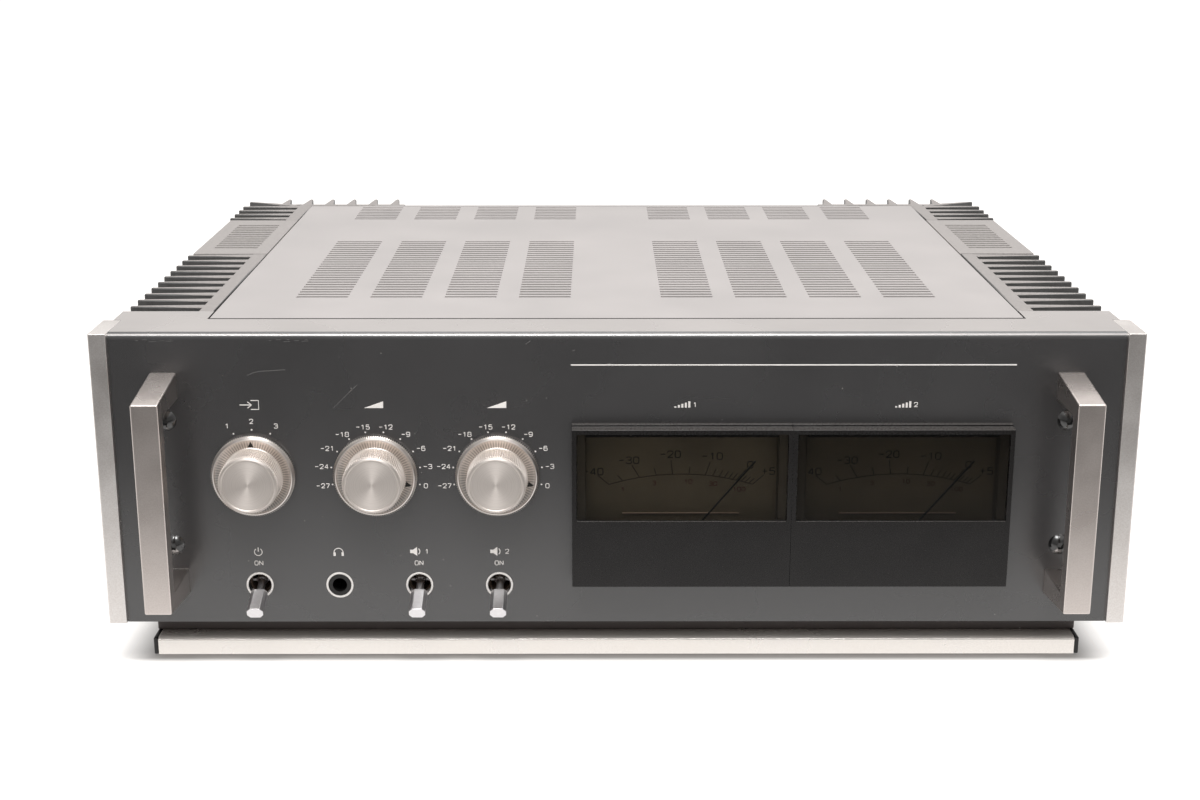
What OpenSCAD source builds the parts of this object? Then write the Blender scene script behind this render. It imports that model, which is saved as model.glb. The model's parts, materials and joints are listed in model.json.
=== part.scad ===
// Stereo power amplifier with two level meters, side heatsinks and carrying handles.
// Millimetres. Every module is drawn from the front panel's face (depth 0, back is +Y)
// and from the panel's lower edge (height 0); placed() then puts the origin at the
// middle of the footprint, on the surface that the amplifier stands on.

/* [Front panel] */
// Width over the two side trims
total_w = 452; // [440:1:480]
// Height of the front panel, three rack units
panel_h = 132.5; // [128:0.5:145]
// Thickness of the face plate
panel_t = 4; // [3:0.5:5]
// Radius of the rounded upper front edge
panel_edge_r = 3; // [1:0.5:4]
// Thickness of the strip that folds over the top
top_strip_t = 3; // [2:0.5:4]
// Depth of the top strip in front of the cover
top_strip_d = 26.4; // [20:0.2:30]
// Depth of the shoulders beside the cover
shoulder_d = 41.7; // [38:0.1:50]
// How far a shoulder stands out behind its trim
shoulder_step = 3.3; // [1:0.1:5]
// Thickness of the end wall that carries a trim
end_wall_t = 4.2; // [3:0.1:5]
// Thickness of the ledge that carries the cover's front edge
ledge_t = 3; // [2:0.5:4]
// Depth of that ledge under the cover
ledge_d = 6; // [4:0.5:8]

/* [Side trims] */
// Width of a trim seen from the front
trim_w = 7.8; // [6:0.1:10]
// Depth of a trim
trim_d = 26.7; // [22:0.1:32]
// How far a trim stands in front of the panel
trim_proud = 2.2; // [0.5:0.1:4]
// Chamfer along a trim's edges
trim_edge = 0.5; // [0.2:0.1:1]

/* [Handles] */
// Distance of a handle and of its screws from the panel's end
handle_inset = 22.9; // [18:0.1:30]
// Width of the handle bar
handle_w = 11.5; // [9:0.5:14]
// Reach of a handle in front of the panel
handle_reach = 35.5; // [30:0.5:45]
// How far the handle's middle lies below the panel's middle
handle_drop = 2.1; // [0:0.05:3]
// Outer height of a handle at the panel
handle_root_h = 101.8; // [97:0.2:104]
// Outer height of a handle at its front
handle_front_h = 92.6; // [88:0.2:95]
// Thickness of an arm at the panel
handle_arm = 11.9; // [10:0.1:13]
// Thickness of the grip bar
handle_grip = 8; // [6:0.5:10]
// Diameter of the bolts that hold a handle from behind
handle_bolt_d = 5; // [4:0.5:6]
// Head diameter of a handle bolt
handle_bolt_head_d = 8.5; // [7:0.5:9]
// Depth of a handle bolt in its arm
handle_bolt_reach = 12; // [8:1:16]

/* [Panel screws] */
// Distance between the two screws of a side
screw_spacing = 57.15; // [50:0.05:60]
// How far the screws' middle lies below the panel's middle
screw_drop = 1.2; // [0:0.1:2]
// Thread diameter of the screws
screw_d = 5; // [4:0.5:6]
// Head diameter
screw_head_d = 9.5; // [8:0.5:11]
// Head height
screw_head_h = 2.75; // [2:0.05:3.5]
// Width of the hexagon socket across flats
screw_hex = 3; // [2:0.5:4]
// Depth of the hexagon socket
screw_hex_depth = 1.6; // [1:0.1:1.9]

/* [Brackets and sub-panel] */
// Sheet thickness of the front brackets
bracket_t = 3; // [2:0.5:4]
// Margin of a bracket below the lower handle bolt
bracket_foot = 8.75; // [4:0.05:10]
// Depth of the bracket flange along the heatsink
bracket_d = 70; // [60:1:90]
// Gap between a bracket and the cover's lip, and before a board's spacers
bracket_clear = 1; // [0.5:0.1:2]
// Edge distance of the bracket plate outside the handle screws
bracket_edge = 10; // [8:0.5:12]
// Sheet thickness of the sub-panel
sub_t = 2; // [1.5:0.5:3]
// Gap between the meters' cases and the sub-panel
sub_gap = 1; // [0.5:0.1:3]
// Gap between the sub-panel's upper edge and the ledge
sub_clear = 6; // [3:0.5:12]
// Depth of the sub-panel's foot
sub_foot = 14; // [10:1:20]

/* [Top cover] */
// Distance from the panel's end to the opening that the cover lies in
well_inset = 37.6; // [34:0.1:42]
// Sheet thickness of the cover
cover_t = 1.5; // [1:0.1:2]
// Gap round the cover
cover_gap = 0.8; // [0.4:0.1:1.2]
// Height of the cover's folded side lips
cover_lip = 10; // [6:1:14]
// Length of a vent slot
slot_len = 24; // [18:0.5:28]
// Width of a vent slot
slot_w = 2.6; // [1.5:0.1:3]
// Distance from slot to slot
slot_pitch = 5.5; // [4.5:0.1:6]
// Distance of the inner columns from the middle
slot_inner_x = 33; // [28:0.5:36]
// Distance from column to column
slot_column_pitch = 34.5; // [30:0.5:37]
// Columns on each side
slot_columns = 4; // [2:1:4]
// Slots in a front bank
slot_front_count = 26; // [10:1:26]
// Depth of the first front slot behind the panel's face
slot_front_y = 71.5; // [60:0.5:75]
// Slots in a rear bank
slot_rear_count = 8; // [4:1:8]
// Distance of the last rear slot from the cover opening's back
slot_rear_margin = 6.1; // [4:0.1:12]

/* [Heatsinks] */
// Thickness of the heatsink base
base_t = 7.4; // [5:0.1:9]
// Length of the side fins
fin_len = 33; // [25:0.5:36]
// Thickness of a fin at its root
fin_root = 5.9; // [4:0.1:7]
// Thickness of a fin at its tip
fin_tip = 2.2; // [1.6:0.1:3]
// Distance from fin to fin
fin_pitch = 13.2; // [12:0.1:14]
// Distance from the shoulder to the middle of the first fin
fin_first = 10.9; // [8:0.1:12]
// Depth of a front heatsink
front_sink_d = 133.5; // [133:0.5:140]
// Gap at the seams between heatsinks and vent blocks
seam = 0.4; // [0.2:0.1:0.8]
// Depth of a vent block
block_d = 99.6; // [90:0.1:104]
// Width of a vent block
block_w = 38.4; // [32:0.2:42]
// Wall thickness of a vent block
block_wall = 3; // [2:0.5:4]
// Length of a slot in a vent block
block_slot_len = 23; // [16:0.5:26]
// Slots in a vent block
block_slots = 13; // [6:1:14]
// Depth of a rear heatsink up to the back of its wall
rear_sink_d = 55.4; // [48:0.1:62]
// Distance from the vent block to the middle of the first rear side fin
rear_fin_first = 7.6; // [5:0.1:9]
// Fins that point backwards on each rear heatsink
rear_fins = 6; // [3:1:6]
// Distance of the inner backward fin inside the base's outer face
rear_fin_inset = 57; // [50:0.5:62]
// Length of the backward fins
rear_fin_len = 18.7; // [12:0.1:24]
// Thickness of the rear heatsink wall
rear_wall_t = 4.4; // [3:0.1:6]
// Width of the rear wall past its outer and inner fins
rear_wall_edge = 3.5; // [3.2:0.1:4]
// Length of the corner fin
corner_fin_len = 34.6; // [28:0.2:36]
// Slant of the corner fin in degrees
corner_fin_turn = 22.4; // [15:0.2:30]

/* [Bottom] */
// Sheet thickness of the bottom plate
bottom_t = 2; // [1.5:0.5:3]
// Height of the bottom plate's underside above the panel's lower edge
bottom_z = 2; // [1:0.5:3]
// How far the plinth's sides lie inside the overall width
plinth_inset = 17; // [12:0.5:24]
// Distance from the panel's face to the plinth's front
plinth_y = 15; // [12:0.5:20]
// How far the plinth's back lies in front of the rear panel's back
plinth_back = 6.6; // [4:0.1:20]
// Height of the plinth below the panel's lower edge
plinth_drop = 10; // [8:0.5:14]
// Sheet thickness of the plinth
plinth_t = 2; // [1.5:0.5:3]
// Width of the plinth's upper flange
plinth_upper = 45; // [30:1:60]
// Width of the plinth's lower flange
plinth_lower = 20; // [16:1:26]
// How far a foot rail ends inside the plinth's side
rail_inset = 2.1; // [2:0.1:10]
// Depth of a foot rail
rail_d = 20; // [16:0.5:26]
// Height of a foot rail
rail_h = 8; // [6:0.5:12]
// How far a rail stands out past the plinth
rail_proud = 10; // [6:0.5:12]
// Thickness of a rail's end cap
cap_t = 2; // [1.5:0.1:3]
// How far the rubber strip under a rail ends inside the rail
strip_inset = 10.5; // [6:0.5:40]
// Width of the rubber strip
strip_w = 12; // [8:0.5:16]
// Thickness of the rubber strip
strip_t = 1; // [0.8:0.1:3]

/* [Knobs] */
// Shares of the panel's free width: before, between and after the knobs, and after the meters
gap_share = [2.2, 16.55, 16.55, 14.15, 10.15];
// Height of the knob row
knob_z = 69; // [64:0.5:74]
// Gap between a knob and the panel
knob_gap = 0.6; // [0.4:0.1:1]
// Diameter of a knob's skirt
skirt_d = 36.6; // [32:0.2:40]
// Thickness of the skirt
skirt_t = 3.9; // [3:0.1:5]
// Diameter of a knob's grip
grip_d = 26; // [22:0.2:28]
// Height of the grip above the skirt
grip_h = 11.5; // [7:0.1:12]
// Width of the rim round a knob's face
knob_rim = 1.3; // [0.8:0.1:2]
// Depth of the dished faces of a knob
knob_dish = 0.4; // [0.2:0.1:0.8]
// Diameter of the control shafts
shaft_d = 6; // [4:0.5:6.5]
// Depth of a shaft in its knob
shaft_in_knob = 9.5; // [7:0.5:10]
// Depth of a shaft in its control
shaft_in_control = 12; // [8:0.5:14]
// Diameter of a control's threaded bushing
bushing_d = 9.5; // [9:0.5:11]
// Length of the bushing in front of the sub-panel
bushing_reach = 6; // [5:0.5:8]
// Width of a bushing nut across flats
nut_w = 14; // [13:0.5:15]
// Thickness of a bushing nut
nut_t = 2.5; // [2:0.5:3]
// Diameter of a level control's can
level_can_d = 26; // [22:1:30]
// Depth of a level control's can
level_can_l = 18; // [16:1:26]
// Diameter of the selector's wafers
selector_d = 34; // [30:1:38]
// Thickness of a selector wafer
wafer_t = 2; // [1.5:0.5:3]
// Distance from wafer to wafer
wafer_pitch = 8; // [6:0.5:10]
// Wafers on the selector
wafers = 3; // [1:1:3]
// Width of the selector's square body
selector_body = 18; // [14:1:20]

/* [Toggle switches and phones socket] */
// Height of the row
row_z = 17.5; // [16.5:0.5:19]
// Diameter of the openings in the panel
row_hole_d = 10; // [9.6:0.1:10.5]
// Depth of a lever's pivot behind the panel's face
pivot_y = 7; // [6.5:0.1:7.5]
// Slant of a lever at rest, in degrees
lever_slant = 18.8; // [14:0.2:19]
// Diameter of a lever's stem
stem_d = 3.4; // [2.6:0.1:3.6]
// Diameter of the ball at a lever's pivot
ball_d = 5.2; // [4.4:0.1:5.6]
// Diameter of the pivot pin
pivot_pin_d = 1.6; // [1.2:0.1:2]
// Distance from the pivot to the paddle
paddle_start = 9.5; // [9.3:0.1:11]
// Length of the paddle
paddle_len = 13.7; // [10:0.1:16]
// Width of the paddle
paddle_w = 7.2; // [6:0.1:8]
// Thickness of the paddle
paddle_t = 5; // [4:0.1:5.4]
// Corner cut of the paddle
paddle_cut = 1.4; // [0.8:0.1:1.8]
// Length of the lever's tail behind the pivot
tail_len = 6.5; // [5:0.1:7]
// Diameter of the lever's tail
tail_d = 2.4; // [2:0.1:2.8]
// Outer diameter of a switch's collar
collar_d = 11; // [10.6:0.2:13]
// Wall thickness of the collar
collar_wall = 1.1; // [0.9:0.1:1.3]
// Width of a switch body
switch_w = 13; // [12:0.5:16]
// Height of a switch body
switch_h = 16; // [14:0.5:20]
// Depth of a switch body
switch_d = 18; // [14:0.5:24]
// Bore of the phones socket
jack_bore_d = 6.4; // [6.36:0.02:6.6]
// Depth of the bore
jack_bore_l = 32; // [28:0.5:36]
// Width of the phones socket's body
jack_w = 17; // [15:0.5:20]
// Wall of the phones socket's body above its bore
jack_wall = 1.35; // [1:0.05:3]

/* [Meters] */
// Width of one meter
meter_w = 95.4; // [88:0.2:100]
// Height of a meter
meter_h = 74; // [70:0.2:76]
// Height of a meter's lower edge
meter_z = 18.5; // [18:0.5:22]
// How far a meter stands in front of the panel
meter_proud = 8; // [6:0.5:10]
// Thickness of the meter's flange
meter_flange = 3; // [2:0.5:4]
// Step between the flange and the front of a meter
meter_step = 1; // [0.5:0.1:1.5]
// Wall thickness of a meter housing
meter_wall = 2; // [1.5:0.1:2.5]
// How far the meter's case behind the panel lies inside the flange's ends
case_inset = 3.7; // [2.5:0.1:6]
// Margin of that case below the flange's edges
case_margin = 3; // [2.5:0.1:3.2]
// Depth of that case behind the panel's face
case_d = 13; // [11:0.5:13]
// Margin of the window at a meter's ends and top
window_margin = [2, 3];
// Height of the window's lower edge above the meter's
window_z = 31.5; // [29.5:0.5:32]
// Thickness of the lens
lens_t = 2; // [1:0.1:2]
// How far the lens lies behind the housing's front
lens_sunk = 0.4; // [0.2:0.1:0.8]
// Thickness of the dial
dial_t = 1; // [0.6:0.1:1.5]
// Depth of the dial's face behind the panel's face
dial_y = 2; // [1.5:0.1:3]
// Height of the dial's lower edge above the meter's
dial_low = 27.5; // [23.5:0.5:29]
// Gap between the upright needle and the case's roof
needle_clear = 0.7; // [0.5:0.1:4]
// Width of the needle
needle_w = 0.7; // [0.5:0.1:1.2]
// Thickness of the needle
needle_t = 0.5; // [0.4:0.1:0.8]
// Slant of the needle at rest, in degrees from upright
needle_rest = 39.8; // [30:0.2:44]
// Depth of the needle in front of the dial
needle_lift = 2; // [1.5:0.1:3]
// Length of the needle's counterweight tail
needle_tail = 9; // [6:0.5:10]
// Diameter of the needle's hub
hub_d = 7; // [5:0.5:8]
// Diameter of the needle's spindle
spindle_d = 2; // [1.6:0.1:3]
// Length of the spindle in the movement
spindle_l = 5; // [3:0.5:6]
// Diameter of a meter movement
movement_d = 20; // [16:0.5:21]
// Gap between a movement and the case's floor
movement_gap = 3; // [2:0.1:4]

/* [Power supply] */
// Outer diameter of the ring transformer
ring_d = 130; // [100:1:135]
// Hole of the ring transformer
ring_hole = 36; // [28:1:44]
// Height of the ring transformer
ring_h = 62; // [50:1:70]
// Rounding of the ring transformer's edges
ring_round = 10; // [4:1:14]
// Gap between the sub-panel's foot and the transformer
ring_clear = 23; // [10:1:26]
// Diameter of the transformer's clamp plate
clamp_d = 84; // [70:1:96]
// Thickness of the clamp plate
clamp_t = 3; // [2:0.5:4]
// Diameter of the transformer's bolt
clamp_bolt_d = 8; // [6:1:10]
// Diameter of a filter capacitor
can_d = 51; // [40:1:54]
// Height of a filter capacitor
can_h = 96; // [70:1:104]
// Gap between the clamp rings of neighbouring capacitors
can_gap = 4.9; // [2:0.1:8]
// Extra gap between the two middle capacitors
can_aisle = 10; // [4:1:16]
// Gap between the transformer and the capacitors' rings
can_clear = 15.45; // [8:0.05:20]
// Diameter of a capacitor's terminal
can_post_d = 8.5; // [6:0.5:10]
// Height of a capacitor's terminal
can_post_h = 6.4; // [4:0.2:8]
// Distance between a capacitor's terminals
can_post_spacing = 25.5; // [20:0.5:28]
// Height of a capacitor's clamp ring
can_ring_h = 20; // [14:1:30]
// Wall thickness of a clamp ring
can_ring_t = 2; // [1.5:0.5:3]
// Width of the bridge rectifier
bridge_w = 28; // [24:1:34]
// Height of the bridge rectifier
bridge_h = 11; // [8:1:14]
// Gap between the capacitors' rings and the bridge rectifier
bridge_gap = 16.45; // [6:0.05:24]
// Diameter of the bridge rectifier's pins
bridge_pin_d = 3.1; // [2:0.1:4]
// Height of the bridge rectifier's pins
bridge_pin_h = 5.5; // [3:0.5:8]
// Distance between the bridge rectifier's pins
bridge_pin_spacing = 18.7; // [14:0.1:22]

/* [Amplifier boards] */
// Length of an amplifier board
board_l = 104; // [98:1:108]
// Gap between an amplifier board and the height of the cover's lip
board_clear = 7; // [4:0.5:16]
// Thickness of a board
board_t = 1.6; // [1:0.2:2.4]
// Height of a board's lower edge
board_z = 22; // [18:1:26]
// Length of a board's spacers
spacer_l = 20; // [14:1:24]
// Diameter of a board's spacers
spacer_d = 6; // [5:0.5:8]
// Distance of the spacers from the board's edges
spacer_edge = 8; // [6:0.5:10]
// Diameter of the board's tall capacitors
part_can_d = 12; // [8:1:14]
// Height of the board's tall capacitors
part_can_h = 18; // [10:1:22]
// Width of the board's small heatsinks
part_sink_w = 16; // [10:1:18]
// Thickness of the board's small heatsinks
part_sink_t = 8; // [4:1:10]
// Height of the board's small heatsinks
part_sink_h = 20; // [12:1:24]
// Can diameter of an output transistor
transistor_d = 22; // [18:1:24]
// Can height of an output transistor
transistor_h = 7; // [5:0.5:9]
// Length of an output transistor's flange
flange_l = 39; // [34:1:42]
// Thickness of that flange
flange_t = 1.6; // [1:0.2:2]
// Width of that flange at its screws
flange_end = 8; // [6:1:10]

/* [Rear panel] */
// Sheet thickness of the rear panel
rear_t = 2; // [1.5:0.5:3]
// Margin of the rear panel outside its screws
rear_margin = 4.45; // [4:0.05:8]
// Depth of the folded flange under the cover
rear_fold = 12; // [8:1:16]
// Thread diameter of the rear panel's screws
rear_screw_d = 4; // [3:0.5:4]
// Head diameter of the rear panel's screws
rear_screw_head_d = 8; // [6:0.5:9]
// Head height of the rear panel's screws
rear_screw_head_h = 2.4; // [1.6:0.2:3]
// Heights of the rear panel's screws
rear_screw_z = [30, 105];
// Distance between a red and a black speaker socket
post_spacing = 19; // [16:0.5:22]
// Distance of the inner speaker sockets from the middle
post_x = 35; // [28:1:40]
// Heights of the two rows of speaker sockets
post_z = [58, 88];
// Bore of a speaker socket
post_bore_d = 4; // [4:0.02:4.2]
// Depth of the bore
post_bore_l = 18; // [14:0.5:20]
// Diameter of a speaker socket's collar
post_d = 13; // [11:0.5:15]
// Reach of the collar behind the panel
post_reach = 10; // [6:0.5:14]
// Diameter of a speaker socket's body in the panel
post_body_d = 9; // [7:0.5:9.5]
// Length of that body in front of the panel
post_body_l = 12; // [10:0.5:16]
// Distance between the two input columns
phono_pitch = 21; // [17:0.5:24]
// Heights of the two input rows
phono_z = [58, 88];
// Diameter of an input socket's sleeve
phono_d = 8.3; // [8.2:0.02:8.4]
// Reach of the sleeve behind the panel
phono_reach = 10; // [8:0.5:12]
// Diameter of an input socket's flange
phono_flange_d = 13; // [11:0.5:15]
// Thickness of that flange
phono_flange_t = 2; // [1:0.5:3]
// Centre bore of an input socket
phono_bore_d = 3.3; // [3:0.1:3.6]
// Length of an input socket inside the panel
phono_body_l = 12; // [8:0.5:16]
// Height of the mains inlet
inlet_z = 44; // [38:1:50]
// Width of the inlet's cavity
inlet_w = 24; // [22:0.2:25]
// Height of the inlet's cavity
inlet_h = 16; // [15:0.2:17]
// Depth of the inlet's cavity
inlet_d = 17; // [14:0.5:19]
// Wall thickness of the inlet
inlet_wall = 1.6; // [1.2:0.1:2]
// Width of the inlet's flange past its wall
inlet_flange = 2.5; // [2:0.1:4]
// Thickness of the inlet's flange
inlet_flange_t = 3; // [2:0.5:4]
// Thickness of a contact pin
pin_t = 2; // [1.5:0.1:2]
// Width of a contact pin
pin_w = 4; // [3:0.1:4]
// Sideways distance of the outer contact pins
pin_x = 7; // [6:0.1:7.5]
// Height of the middle contact pin, and drop of the outer ones
pin_rise = 2; // [1.5:0.1:2.5]
// Length of a contact pin
pin_l = 14; // [10:0.5:14]
// Height of the fuse holder
fuse_z = 88; // [80:1:96]
// Diameter of the fuse holder's body
fuse_d = 12; // [10:0.5:14]
// Length of the fuse holder inside
fuse_l = 28; // [20:1:34]
// Diameter of the fuse holder's cap
fuse_cap_d = 15; // [14:0.5:18]
// Height of the fuse holder's cap
fuse_cap_h = 8; // [5:0.5:10]
// Width and depth of the coin slot in the cap
fuse_slot = 2; // [1:0.5:3]

/* [Fits] */
// Gap round threads, spigots and other fixed fits
fit_gap = 0.05; // [0.02:0.01:0.1]
// Radial gap of the shafts and spindles that turn
run_gap = 0.05; // [0.02:0.01:0.1]
// Gap of a clearance hole round its screw
hole_gap = 0.3; // [0.2:0.05:0.5]

/* [Hidden] */
$fn = 64;
cut = 1;
knobs = 3;
meter_side = [0, 1];

// Sum of a list's first entries
function sum_to(list, count) = count == 0 ? 0 : list[count - 1] + sum_to(list, count - 1);

panel_half = total_w / 2 - trim_w;
trim_back = trim_d - trim_proud;
panel_mid = panel_h / 2;
screw_mid = panel_mid - screw_drop;
screw_z = [screw_mid - screw_spacing / 2, screw_mid + screw_spacing / 2];
handle_x = panel_half - handle_inset;
handle_z = panel_mid - handle_drop;
arm_z = handle_root_h / 2 - handle_arm / 2;
bolt_z = [handle_z - arm_z, handle_z + arm_z];
base_x = panel_half - well_inset;
base_out = base_x + base_t;
sink_z = bottom_z + bottom_t;
sink_h = panel_h - sink_z;
block_y = shoulder_d + front_sink_d + seam;
rear_y = block_y + block_d + seam;
rear_wall_back = rear_y + rear_sink_d;
rear_face = rear_wall_back - rear_wall_t;
well_back = rear_face - rear_t;
front_fins = 1 + floor((front_sink_d - fin_first - fin_root / 2) / fin_pitch);
rear_side_fins = 1 + floor((rear_sink_d - rear_fin_first - fin_root / 2) / fin_pitch);
rear_fin_x = base_out - rear_fin_inset;
rear_wall_x = rear_fin_x - fin_root / 2 - rear_wall_edge;
rear_wall_end = rear_fin_x + (rear_fins - 1) * fin_pitch + rear_wall_edge;
rear_screw_x = rear_fin_x + fin_pitch / 2;
rear_half = rear_screw_x + rear_margin;
rear_tip = rear_wall_back + rear_fin_len;
mid_y = (rear_tip - handle_reach) / 2;
lip_low = panel_h - cover_t - cover_lip;
bracket_top = lip_low - bracket_clear;
bracket_z = bolt_z[0] - bracket_foot;
sub_y = case_d + sub_gap;
sub_top = panel_h - cover_t - ledge_t - sub_clear;
sub_back = sub_y + sub_t;
sub_half = base_x - bracket_t;
slot_rear_y = well_back - slot_rear_margin - (slot_rear_count - 1) * slot_pitch;
plinth_half = total_w / 2 - plinth_inset;
plinth_d = rear_face - plinth_back - plinth_y;
rail_half = plinth_half - rail_inset;
strip_half = rail_half - strip_inset;
rail_z = -plinth_drop - rail_h;
stand_h = plinth_drop + rail_h + strip_t;
rear_rail_y = plinth_y + plinth_d + rail_proud - rail_d;
knob_h = skirt_t + grip_h;
knob_start = selector_d / 2 - sub_half;
meters_w = len(meter_side) * meter_w - case_inset;
free_w = sub_half - knob_start - (knobs - 0.5) * skirt_d - meters_w;
gap_unit = free_w / sum_to(gap_share, len(gap_share));
knob_x = [for (i = [0 : knobs - 1]) knob_start + i * skirt_d + sum_to(gap_share, i + 1) * gap_unit];
row_pitch = (knob_x[knobs - 1] - knob_x[0]) / knobs;
row_slots = [for (i = [0 : knobs]) knob_x[0] + i * row_pitch];
toggle_x = [row_slots[0], row_slots[2], row_slots[3]];
jack_x = row_slots[1];
collar_front = panel_t + knob_gap;
meter_start = knob_x[knobs - 1] + skirt_d / 2 + gap_share[knobs] * gap_unit;
meter_x = [for (i = meter_side) meter_start + (i + 0.5) * meter_w];
case_w = meter_w - 2 * case_inset;
window_w = meter_w - 2 * window_margin[0];
window_h = meter_h - window_z - window_margin[1];
case_z = meter_z + case_margin;
case_h = meter_h - 2 * case_margin;
room_w = case_w - 2 * meter_wall;
room_z = case_z + meter_wall;
room_h = case_h - 2 * meter_wall;
room_back = case_d - meter_wall;
pivot_height = room_z + movement_gap + movement_d / 2;
needle_len = room_z + room_h - needle_clear - pivot_height;
needle_y = dial_y - needle_lift;
movement_front = dial_y + dial_t;
board_x = base_x - spacer_l - board_t;
board_y = panel_t + bracket_d + bracket_clear + spacer_d / 2 - spacer_edge;
board_h = lip_low - board_clear - board_z;
ring_y = sub_back + sub_foot + ring_clear + ring_d / 2;
ring_clamp_z = sink_z + ring_h;
can_ring_r = can_d / 2 + fit_gap + can_ring_t;
can_y = ring_y + ring_d / 2 + can_clear + can_ring_r;
can_pitch = 2 * can_ring_r + can_gap;
can_x = [for (i = [0.5, 1.5]) i * can_pitch + can_aisle / 2];
bridge_y = can_y + can_ring_r + bridge_gap + bridge_w / 2;
rear_mid = (post_x + post_spacing + post_d / 2 + rear_wall_x) / 2;
phono_x = [-rear_mid - phono_pitch / 2, -rear_mid + phono_pitch / 2];
inlet_x = rear_mid;

// Moves a piece from the panel's frame to the part's frame
module placed() {
    translate([0, -mid_y, stand_h])
        children();
}

// Turns a shape's own height towards the front
module facing_front(x, y, z) {
    translate([x, y, z])
        rotate([90, 0, 0])
            children();
}

// Turns a shape's own height towards the back
module facing_back(x, y, z) {
    translate([x, y, z])
        rotate([-90, 0, 0])
            children();
}

// Draws an outline of depth and height along the width, about the middle at x
module across(x, width) {
    translate([x - width / 2, 0, 0])
        rotate([90, 0, 90])
            linear_extrude(width)
                children();
}

// Draws a right-hand piece and its mirror image
module both_sides() {
    children();
    mirror([1, 0, 0])
        children();
}

// A box between two corners
module span_box(low, high) {
    translate(low)
        cube(high - low);
}

// Face plate, rounded upper edge, top strip and the ledge under the cover
module panel_section() {
    square([panel_t, panel_h - panel_edge_r]);
    translate([panel_edge_r, panel_h - panel_edge_r])
        intersection() {
            circle(panel_edge_r);
            translate([-panel_edge_r, 0])
                square(panel_edge_r);
        }
    translate([panel_edge_r, panel_h - max(top_strip_t, panel_edge_r)])
        square([panel_t, max(top_strip_t, panel_edge_r)]);
    translate([panel_edge_r, panel_h - top_strip_t])
        square([top_strip_d - panel_edge_r, top_strip_t]);
    translate([top_strip_d - ledge_d, panel_h - cover_t - ledge_t])
        square([2 * ledge_d, ledge_t]);
}

// Shoulder beside the cover, the end wall and the post behind the trim
module panel_shoulder() {
    span_box([base_x, panel_t, panel_h - top_strip_t], [panel_half, shoulder_d, panel_h]);
    span_box([panel_half - end_wall_t, panel_t, 0], [panel_half, shoulder_d, panel_h]);
    span_box([panel_half - end_wall_t, trim_back, 0], [panel_half + shoulder_step, shoulder_d, panel_h]);
}

// Round opening through the face plate
module panel_hole(x, z, d) {
    facing_front(x, panel_t + cut, z)
        cylinder(d = d, h = panel_t + 2 * cut);
}

module front_panel() {
    color("dimgray")
        placed()
            difference() {
                union() {
                    across(0, 2 * panel_half)
                        panel_section();
                    both_sides()
                        panel_shoulder();
                }
                for (x = knob_x)
                    panel_hole(x, knob_z, shaft_d + 2 * hole_gap);
                for (x = row_slots)
                    panel_hole(x, row_z, row_hole_d);
                for (x = meter_x)
                    span_box([x - case_w / 2 - fit_gap, -cut, case_z - fit_gap],
                             [x + case_w / 2 + fit_gap, panel_t + cut, case_z + case_h + fit_gap]);
                both_sides()
                    for (z = screw_z)
                        panel_hole(handle_x, z, screw_d + 2 * hole_gap);
                both_sides()
                    for (z = bolt_z)
                        panel_hole(handle_x, z, handle_bolt_d + 2 * hole_gap);
            }
}

// Trim bar with chamfered edges
module trim_shape() {
    translate([panel_half, -trim_proud, 0])
        linear_extrude(panel_h)
            polygon([
                [0, 0],
                [trim_w - trim_edge, 0],
                [trim_w, trim_edge],
                [trim_w, trim_d - trim_edge],
                [trim_w - trim_edge, trim_d],
                [0, trim_d]
            ]);
}

module side_trim_left() {
    color("silver")
        placed()
            mirror([1, 0, 0])
                trim_shape();
}

module side_trim_right() {
    color("silver")
        placed()
            trim_shape();
}

// Handle outline in depth and height: sloped outside, square inside
module handle_outline() {
    inner = handle_root_h / 2 - handle_arm;
    translate([0, handle_z])
        polygon([
            [0, -handle_root_h / 2],
            [0, -inner],
            [handle_grip - handle_reach, -inner],
            [handle_grip - handle_reach, inner],
            [0, inner],
            [0, handle_root_h / 2],
            [-handle_reach, handle_front_h / 2],
            [-handle_reach, -handle_front_h / 2]
        ]);
}

module handle_shape() {
    difference() {
        across(handle_x, handle_w)
            handle_outline();
        for (z = bolt_z)
            facing_front(handle_x, cut, z)
                cylinder(d = handle_bolt_d + 2 * fit_gap, h = handle_bolt_reach + fit_gap + cut);
    }
}

module handle_left() {
    color("silver")
        placed()
            mirror([1, 0, 0])
                handle_shape();
}

module handle_right() {
    color("silver")
        placed()
            handle_shape();
}

// Cap-head bolt from behind the bracket into a handle's arm
module handle_bolts() {
    color("gray")
        placed()
            both_sides()
                for (z = bolt_z)
                    facing_front(handle_x, panel_t + bracket_t + handle_bolt_d, z) {
                        difference() {
                            cylinder(d = handle_bolt_head_d, h = handle_bolt_d);
                            translate([0, 0, -cut])
                                cylinder(d = handle_bolt_d - 2 * hole_gap,
                                         h = handle_bolt_d / 2 + cut, $fn = 6);
                        }
                        cylinder(d = handle_bolt_d,
                                 h = handle_bolt_d + bracket_t + panel_t + handle_bolt_reach);
                    }
}

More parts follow.
